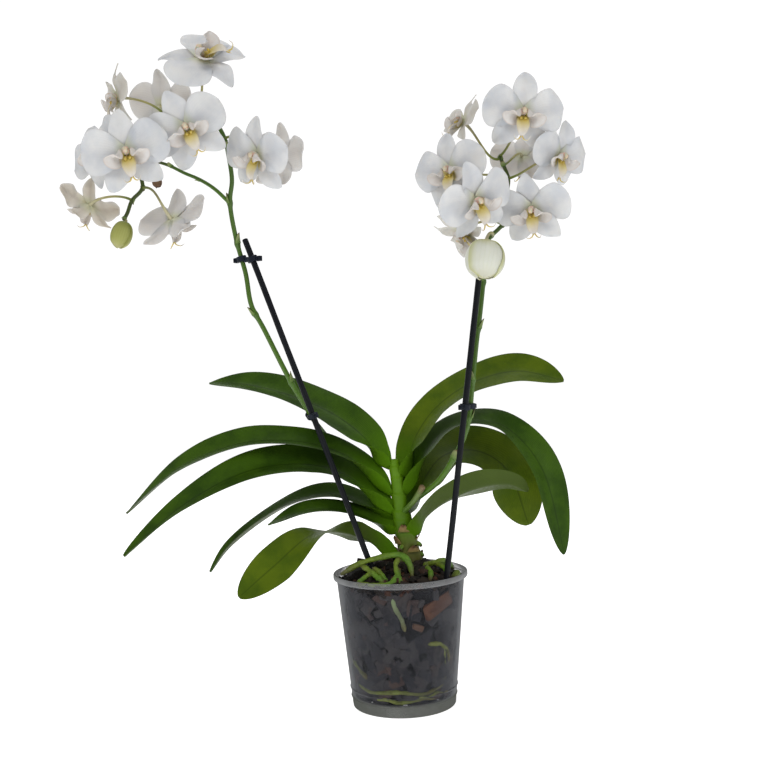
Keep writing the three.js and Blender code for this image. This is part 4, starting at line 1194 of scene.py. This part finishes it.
for side in ("left", "right"):
    path = SPIKE_PATHS[side]
    nodes = [share_at_height(path, z) for z in NODES[side]]

    def spike_radius(t, nodes=nodes, path=path):
        swell = sum(0.75 * math.exp(-(((t - n) * path.length / 2.6) ** 2)) for n in nodes)
        return lerp(SPIKE_RADIUS, SPIKE_TIP, t) * 0.97 + swell

    shape = Shape()
    tube(shape, path, spike_radius, 18, 300)
    scales = Shape()
    for k, n in enumerate(nodes):
        bract(scales, path, n, spike_radius(n), 9.5, 1.2 + 2.9 * k)
    if side == "left":
        branch = SPIKE_PATHS["branch"]
        tube(shape, branch, lambda t: BRANCH_RADIUS * (1.15 - 0.25 * t), 14, 80)
        bract(scales, branch, 0.42, BRANCH_RADIUS, 5, 0.6)
        bract(scales, branch, 0.8, BRANCH_RADIUS, 5, 3.4)
    carried = [s for s in (*FLOWERS.values(), *BUDS.values()) if s["on"][0] == side]
    for k, s in enumerate(carried):
        where = float(np.interp(s["on"][1], path.u, path.s)) / path.length
        bract(scales, path, max(0.02, where - 0.004), spike_radius(where), 4.5, 2.1 * k)
    shape.build(f"spike_{side}_stalk", SPIKE_SKIN, "spike", [f"flower_spike_{side}"], lift=MOUND_TOP)
    scales.build(f"spike_{side}_bracts", BRACT_SKIN, "spike", [f"flower_spike_{side}"], lift=MOUND_TOP)


def stub_radius(t):
    """Flared where it was cut."""
    return SPIKE_RADIUS * (0.98 + 0.12 * smooth(0.86, 1, t))


stub = Shape()
tube(stub, Path(((4, 1, 44), (14, -9, 55), (22, -14, 68))), stub_radius, 18, 40)
stub.build("old_spike_cut", STUB_SKIN, "spike", ["old_spike_stub"], lift=MOUND_TOP)


# ---------------------------------------------------------------- canes and clips
def frame_along(direction, towards):
    """A turn whose Z lies along a direction and whose X leans towards another."""
    z = unit(np.array(direction, float))
    x = unit(towards - z * z.dot(towards))
    return np.stack((x, np.cross(z, x), z), 1)


CANE_LINES = {}
for side, (foot, top) in CANES.items():
    foot, top = np.array(foot, float), np.array(top, float)
    up = unit(top - foot)
    CANE_LINES[side] = (foot - up * CANE_BURIED, top, up)
    rng = np.random.default_rng(11 if side == "left" else 12)
    lean = rng.uniform(0, 6.28, 4)
    turn = frame_along(up, np.array((0.0, 1.0, 0.0)))
    length = np.linalg.norm(top - CANE_LINES[side][0])
    stations = [0, 2, 5, CANE_TIP, *np.linspace(CANE_TIP + 5, length - 2.5, 90)]
    stations += [length - 1.2, length - 0.4, length]
    angles = np.linspace(0, 2 * math.pi, 24, endpoint=False)
    rings = []
    for at in stations:
        share = np.interp(at, (0, CANE_TIP, length - 1.2, length - 0.4, length), (0.3, 1, 1, 0.9, 0.62))
        middle = CANE_LINES[side][0] + up * at
        ring = []
        for a in angles:
            grain = 0.02 * math.sin(at / 17 + lean[0] + a) + 0.012 * math.sin(at / 5.3 + lean[1] + 2 * a)
            ring.append(middle + turn @ (ray(a) * CANE_RADIUS * share * (0.975 + grain)))
        rings.append(ring)
    shape = Shape()
    shape.rings(rings, list((np.sin(angles) + 1) / 2), [at / length for at in stations])
    shape.build(f"cane_{side}_rod", CANE_SKIN, "cane", [f"cane_{side}"], lift=MOUND_TOP)


def collar(shape, middle, turn, inner, outer, height):
    """A ring with rounded edges round a rod."""
    sides, h, edge = 40, height / 2, 0.5
    section = [(inner, -h), (outer - edge, -h), (outer, edge - h)]
    section += [(outer, h - edge), (outer - edge, h), (inner, h)]
    angles = np.linspace(0, 2 * math.pi, sides, endpoint=False)
    points = [middle + turn @ (ray(a) * r + (0, 0, z)) for r, z in section for a in angles]
    faces = []
    for i in range(len(section)):
        low, high = i * sides, (i + 1) % len(section) * sides
        for j in range(sides):
            k = (j + 1) % sides
            faces.append((low + j, low + k, high + k, high + j))
    shape.raw(points, faces)


for name, (side, at) in CLIPS.items():
    start, top, up = CANE_LINES[side]
    on_cane = start + up * ((at - start[2]) / up[2])
    path = SPIKE_PATHS[side]
    t = share_at_height(path, at)
    on_spike = path.point(t)
    across = (on_spike - on_cane) * (1, 1, 0)
    gap = np.linalg.norm(across)
    across = unit(across)
    turn = np.stack((across, np.cross(UP, across), UP), 1)
    shape = Shape()
    collar(shape, on_cane, frame_along(up, across), CANE_RADIUS + 0.05, CANE_RADIUS + 2.1, 5)
    collar(shape, on_spike, frame_along(path.tangent(t), across), SPIKE_RADIUS + 0.05, SPIKE_RADIUS + 2.0, 5)

    def place(x, y=0.0, z=0.0):
        m = Matrix(turn.tolist()).to_4x4()
        m.translation = on_cane + turn @ np.array((x, y, z))
        return m

    inner = gap - CANE_RADIUS - SPIKE_RADIUS - 1.0
    if inner > 1:
        box(shape, (inner, 2.6, 4.4), place(gap / 2 + (CANE_RADIUS - SPIKE_RADIUS) / 2), 0.4)
    for x, hand in ((-CANE_RADIUS - 1.6, -1), (gap + SPIKE_RADIUS + 1.4, 1)):
        reach = 5.4 if hand < 0 else 3.4
        for y in (-0.9, 0.9):
            box(shape, (reach, 1.1, 4.6), place(x + hand * reach / 2, y * 1.25), 0.35)
        for k in range(3):
            box(shape, (0.6, 4.4, 3.8), place(x + hand * (reach * 0.35 + 1.2 * k)), 0.2)
    shape.build(f"{name}_grip", CLIP_SKIN, "clip", [name], lift=MOUND_TOP, sharp=35)


# ---------------------------------------------------------------- flowers
def frame_of(spec):
    """A flower's own frame: its hub, with Z where it faces."""
    look = unit(np.array(spec["facing"], float))
    right = unit(np.cross(UP, look))
    turn = np.stack((right, np.cross(look, right), look), 1)
    m = Matrix(turn.tolist()).to_4x4() @ Matrix.Rotation(math.radians(spec["roll"]), 4, "Z")
    m.translation = spec["hub"]
    return m


def stalk_path(spec, frame_matrix, back):
    """The pedicel from behind a flower into its spike, in the plant's frame."""
    side, index = spec["on"]
    path = SPIKE_PATHS[side]
    on = path.control(index)
    tangent = path.control_tangent(index)
    hub = np.array(spec["hub"], float)
    away = hub - on
    reach = np.linalg.norm(away)
    away = unit(away - tangent * away.dot(tangent))
    look = np.array(frame_matrix.to_3x3().col[2])
    a, b = hub - look * back, hub - look * (back + reach * 0.35)
    c, d = on + away * reach * 0.3, on
    us = np.linspace(0, 1, 15)[:, None]
    points = (1 - us) ** 3 * a + 3 * (1 - us) ** 2 * us * b + 3 * (1 - us) * us**2 * c + us**3 * d
    return Path(points)


def petal_path(angle, layer, length, open_by, tip_back, rng):
    """The line of a petal or sepal from the hub outwards; its tip curls back."""
    drop = -length * math.tan(math.radians(open_by))
    near = 1.5 + drop * 0.2 + rng.uniform(-0.5, 0.5)
    far = 2 + drop * 0.5 + rng.uniform(-0.6, 0.6)
    stations = ((0.03, 0.0), (0.35, near), (0.7, far), (1.0, drop - tip_back))
    return Path([ray(angle) * length * share + (0, 0, layer + lift) for share, lift in stations])


AGED = ("flower_left_5", "flower_left_10", "flower_right_3", "flower_right_6")


def perianth_of(spec, aged, rng):
    """Three sepals behind two broad petals. An aged flower's are narrower and more ruffled."""
    perianth = Shape()
    for degrees, layer, kind in TEPALS:
        petal = kind is PETAL
        angle = math.radians(degrees + rng.uniform(-3.0, 3.0))
        open_by = spec["open"] + rng.uniform(-3, 3)
        path = petal_path(angle, layer, kind["length"], open_by, 0.4 if petal else 1.6, rng)
        half = kind["half"] * rng.uniform(0.97, 1.03) * (0.82 if aged else 1.0 if petal else 1.14)
        wide = kind["wide"] + rng.uniform(-0.05, 0.05)
        blunt = kind["blunt"] - rng.uniform(0.3, 1.0)
        bank = (rng.uniform(-8, 8), rng.uniform(-10, 10))
        wave = rng.uniform(0.8, 1.9) * (1.6 if aged else 1.0) if petal else 0.7
        blade(
            perianth, path, half, wide, blunt, 0.3 if petal else 0.42, 5 if petal else 10, bank, 0.9,
            steps=34, rows=9, wave=wave, waves=rng.uniform(1.0, 1.9), phase=rng.uniform(0, 6.28),
            curl=rng.uniform(-0.04, 0.14) if petal else rng.uniform(-0.05, 0.1), keel=0.6,
        )
    return perianth


def lip_of(rng):
    """A pointed mid lobe between two upright ones, with tendrils at its tip and horns in its throat."""
    lip = Shape()
    blade(
        lip, Path(((0, -2.5, 2.5), (0, -7.5, 7.5), (0, -13.5, 10.5), (0, -19.5, 10.0))),
        6.0, 0.5, 1.4, 0.6, 18, (0, 0), 1.3, steps=26, rows=7, wave=0.5, waves=1.4, keel=0.8,
    )
    for hand in (1, -1):
        reach = ((2, -3, 1.5), (7, -3.2, 4.5), (10.8, -1.6, 9.0), (10.6, 1.2, 14.5))
        blade(
            lip, Path([(hand * x, y, z) for x, y, z in reach]),
            8.4 * rng.uniform(0.95, 1.05), 0.6, 2.4, 0.5, 14, (hand * 6, hand * -6), 0.9,
            steps=28, rows=8, tag=1.0, wave=0.6, waves=1.3, phase=rng.uniform(0, 6), curl=-0.14,
        )
        reach = ((0.5, -18.8, 10.0), (2.4, -21.6, 11), (5.4, -21.6, 13.5), (7.0, -18.4, 15))
        tube(lip, Path([(hand * x, y, z) for x, y, z in reach]), lambda t: 0.65 * (1 - 0.65 * t), 8, 18)
        at = lip.count
        horn = Path(((hand * 0.8, -3.4, 3.6), (hand * 1.7, -4.4, 6.8), (hand * 2.0, -3.6, 8.0)))
        tube(lip, horn, lambda t: 1.6 * (1 - 0.4 * t), 10, 12)
        lip.along[at:] = [0.05] * (lip.count - at)
    return lip


def column_of():
    """The club over the lip, with its pale cap."""
    column = Shape()
    body = Path(((0, 0.2, 0.4), (0, 1.2, 3.6), (0, 2.4, 7.6), (0, 2.2, 10)))
    tube(column, body, lambda t: 2.1 + 0.9 * math.sin(math.pi * t**1.4), 18, 28)
    cap = Path(((0, 3.4, 8.0), (0, 2.8, 9.8), (0, 1.0, 10.6)))
    at = column.count
    tube(column, cap, lambda t: 1.0 + 1.0 * math.sin(math.pi * (0.15 + 0.6 * t)), 16, 10)
    column.along[at:] = [0.0] * (column.count - at)
    return column


def pedicel_radius(t):
    return 1.55 - 0.5 * smooth(0.0, 0.35, t) + 0.2 * smooth(0.8, 1, t)


def flower(name, spec, seed):
    rng = np.random.default_rng(seed)
    placed = frame_of(spec)
    scaled = placed @ Matrix.Scale(spec["size"], 4)
    aged = name in AGED
    skin = AGED_SKIN if aged else PETAL_SKIN
    pieces = {"perianth": (perianth_of(spec, aged, rng), skin), "lip": (lip_of(rng), LIP_SKIN)}
    pieces["column"] = (column_of(), COLUMN_SKIN)
    for kind, (shape, material) in pieces.items():
        shape.moved(scaled).build(f"{name}_{kind}", material, "petal", [name], lift=MOUND_TOP)
    stalk = Shape()
    tube(stalk, stalk_path(spec, placed, 0), pedicel_radius, 12, 48)
    stalk.build(f"{name}_pedicel", PEDICEL_SKIN, "petal", [name], lift=MOUND_TOP)


for i, (name, spec) in enumerate(FLOWERS.items()):
    flower(name, spec, 100 + i)


# ---------------------------------------------------------------- buds
def bud(name, spec, material, slot, seed, seam, pointed):
    """Closed sepals over an egg: each wraps a third of it and more, so that its edge lies over the next."""
    rng = np.random.default_rng(seed)
    placed = frame_of(spec)

    def egg(u, a, out):
        z = -math.cos(math.pi * u) * spec["long"] * (0.93 + 0.5 * out)
        swell = math.sin(math.pi * u) ** (0.85 + pointed * smooth(0.55, 1.0, u))
        r = spec["radius"] * (swell * 0.93 + out)
        return np.array((r * math.cos(a), r * math.sin(a), z))

    shape = Shape()
    angles = np.linspace(0, 2 * math.pi, 48, endpoint=False)
    us = np.linspace(0.015, 0.985, 40)
    shape.rings([[egg(u, a, 0.0) for a in angles] for u in us], list((np.sin(angles) + 1) / 2), list(us))
    start = rng.uniform(0, 2.1)
    for k in range(3):
        middle = start + k * 2 * math.pi / 3
        us = np.linspace(0.02, 0.975 - 0.055 * k, 44)
        rings = []
        for u in us:
            spread = 1.32 * min(1.0, (1.02 - u) / 0.3) ** 0.5 * (1 + 0.05 * math.sin(9 * u + k))
            arc = np.linspace(-1, 1, 21)
            lie = 0.3 + 0.7 * (arc + 1) / 2 + 0.12 * np.cos(arc * 6 + k)
            lie = seam * (lie + (0.5 + 0.25 * k) * smooth(0.78, 1.0, u))
            outer = [egg(u, middle + spread * s + 0.25 * u, q) for s, q in zip(arc, lie)]
            inner = [egg(u, middle + spread * s + 0.25 * u, q - 0.045) for s, q in zip(arc[::-1], lie[::-1])]
            rings.append(outer + inner)
        paint = list((arc + 1) / 2) + list((arc[::-1] + 1) / 2)
        shape.rings(rings, paint, list(us))
    shape.moved(placed).build(f"{name}_sepals", material, slot, [name], lift=MOUND_TOP, sharp=50)
    stalk = Shape()
    line = stalk_path(spec, placed, spec["long"] * 0.6)
    tube(stalk, line, lambda t: 1.5 - 0.3 * smooth(0.0, 0.4, t), 12, 40)
    stalk.build(f"{name}_pedicel", PEDICEL_SKIN, slot, [name], lift=MOUND_TOP)


bud("bud_left", BUDS["bud_left"], BUD_SKIN, "bud", 201, 0.06, 0.25)
bud("bud_right", BUDS["bud_right"], BIG_BUD_SKIN, "bud", 202, 0.1, 0.15)
bud("bud_dry", BUDS["bud_dry"], DRY_SKIN, "dry", 203, 0.2, 0.3)


# ---------------------------------------------------------------- camera, light and floor
def camera():
    data = bpy.data.cameras.new("camera")
    data.lens = 50.6
    data.sensor_width = 36
    data.clip_end = 20
    made = bpy.data.objects.new("camera", data)
    pitch, roll = math.radians(1.07), math.radians(2.0)
    look = np.array((0.0, math.cos(pitch), -math.sin(pitch)))
    right = np.array((1.0, 0.0, 0.0))
    up = np.cross(right, look)
    r2 = right * math.cos(roll) - up * math.sin(roll)
    u2 = right * math.sin(roll) + up * math.cos(roll)
    m = Matrix(np.stack((r2, u2, -look), 1).tolist()).to_4x4()
    m.translation = (-0.010, -0.960, 0.305)
    made.matrix_world = m
    bpy.context.scene.collection.objects.link(made)
    bpy.context.scene.camera = made


def lamp(name, place, target, size, power, glossy=True):
    data = bpy.data.lights.new(name, "AREA")
    data.shape, data.size, data.energy = "DISK", size, power
    made = bpy.data.objects.new(name, data)
    made.visible_glossy = glossy
    made.location = place
    made.rotation_euler = (Vector(target) - Vector(place)).to_track_quat("-Z", "Y").to_euler()
    bpy.context.scene.collection.objects.link(made)


def studio():
    """White surroundings, bright to the camera and dimmer as light, with four soft lamps."""
    world = bpy.data.worlds.new("studio")
    bpy.context.scene.world = world
    world.use_nodes = True
    tree = world.node_tree
    background = tree.nodes["Background"]
    background.inputs["Color"].default_value = (1, 1, 1, 1)
    path = tree.nodes.new("ShaderNodeLightPath")
    strength = tree.nodes.new("ShaderNodeMapRange")
    strength.inputs["To Min"].default_value = 0.34
    strength.inputs["To Max"].default_value = 1.05
    tree.links.new(path.outputs["Is Camera Ray"], strength.inputs["Value"])
    tree.links.new(strength.outputs[0], background.inputs["Strength"])
    lamp("key", (-0.5, -1.5, 1.5), (0, 0, 0.35), 1.1, 15, glossy=False)
    lamp("fill", (1.3, -0.9, 0.7), (0, 0, 0.3), 1.0, 4)
    lamp("top", (0.1, 0.4, 1.7), (0, 0, 0.3), 1.2, 5)
    lamp("back", (-0.6, 1.5, 0.9), (0, 0, 0.3), 1.2, 5)


def floor():
    """A wide round of white paper under the pot."""
    angles = np.linspace(0, 2 * math.pi, 96, endpoint=False)
    circle = [ray(a) * 2600 + (0, 0, -0.4) for a in angles]
    mesh = bpy.data.meshes.new("floor")
    mesh.from_pydata((np.array(circle) * MM).tolist(), [], [tuple(range(len(circle)))])
    made = bpy.data.objects.new("floor", mesh)
    bpy.context.scene.collection.objects.link(made)
    p = shader("floor_paper", 0.9, specular_ior_level=0.1)
    p.to("Base Color", p.mix(p.noise(3.0, 2.0), (0.86, 0.86, 0.86), (0.88, 0.88, 0.88)))
    p.to("Emission Color", (1, 1, 1, 1))
    p.to("Emission Strength", 0.78)
    made.data.materials.append(p.material)


camera()
studio()
floor()
bpy.context.scene.view_settings.view_transform = "Standard"
bpy.context.scene.view_settings.look = "None"
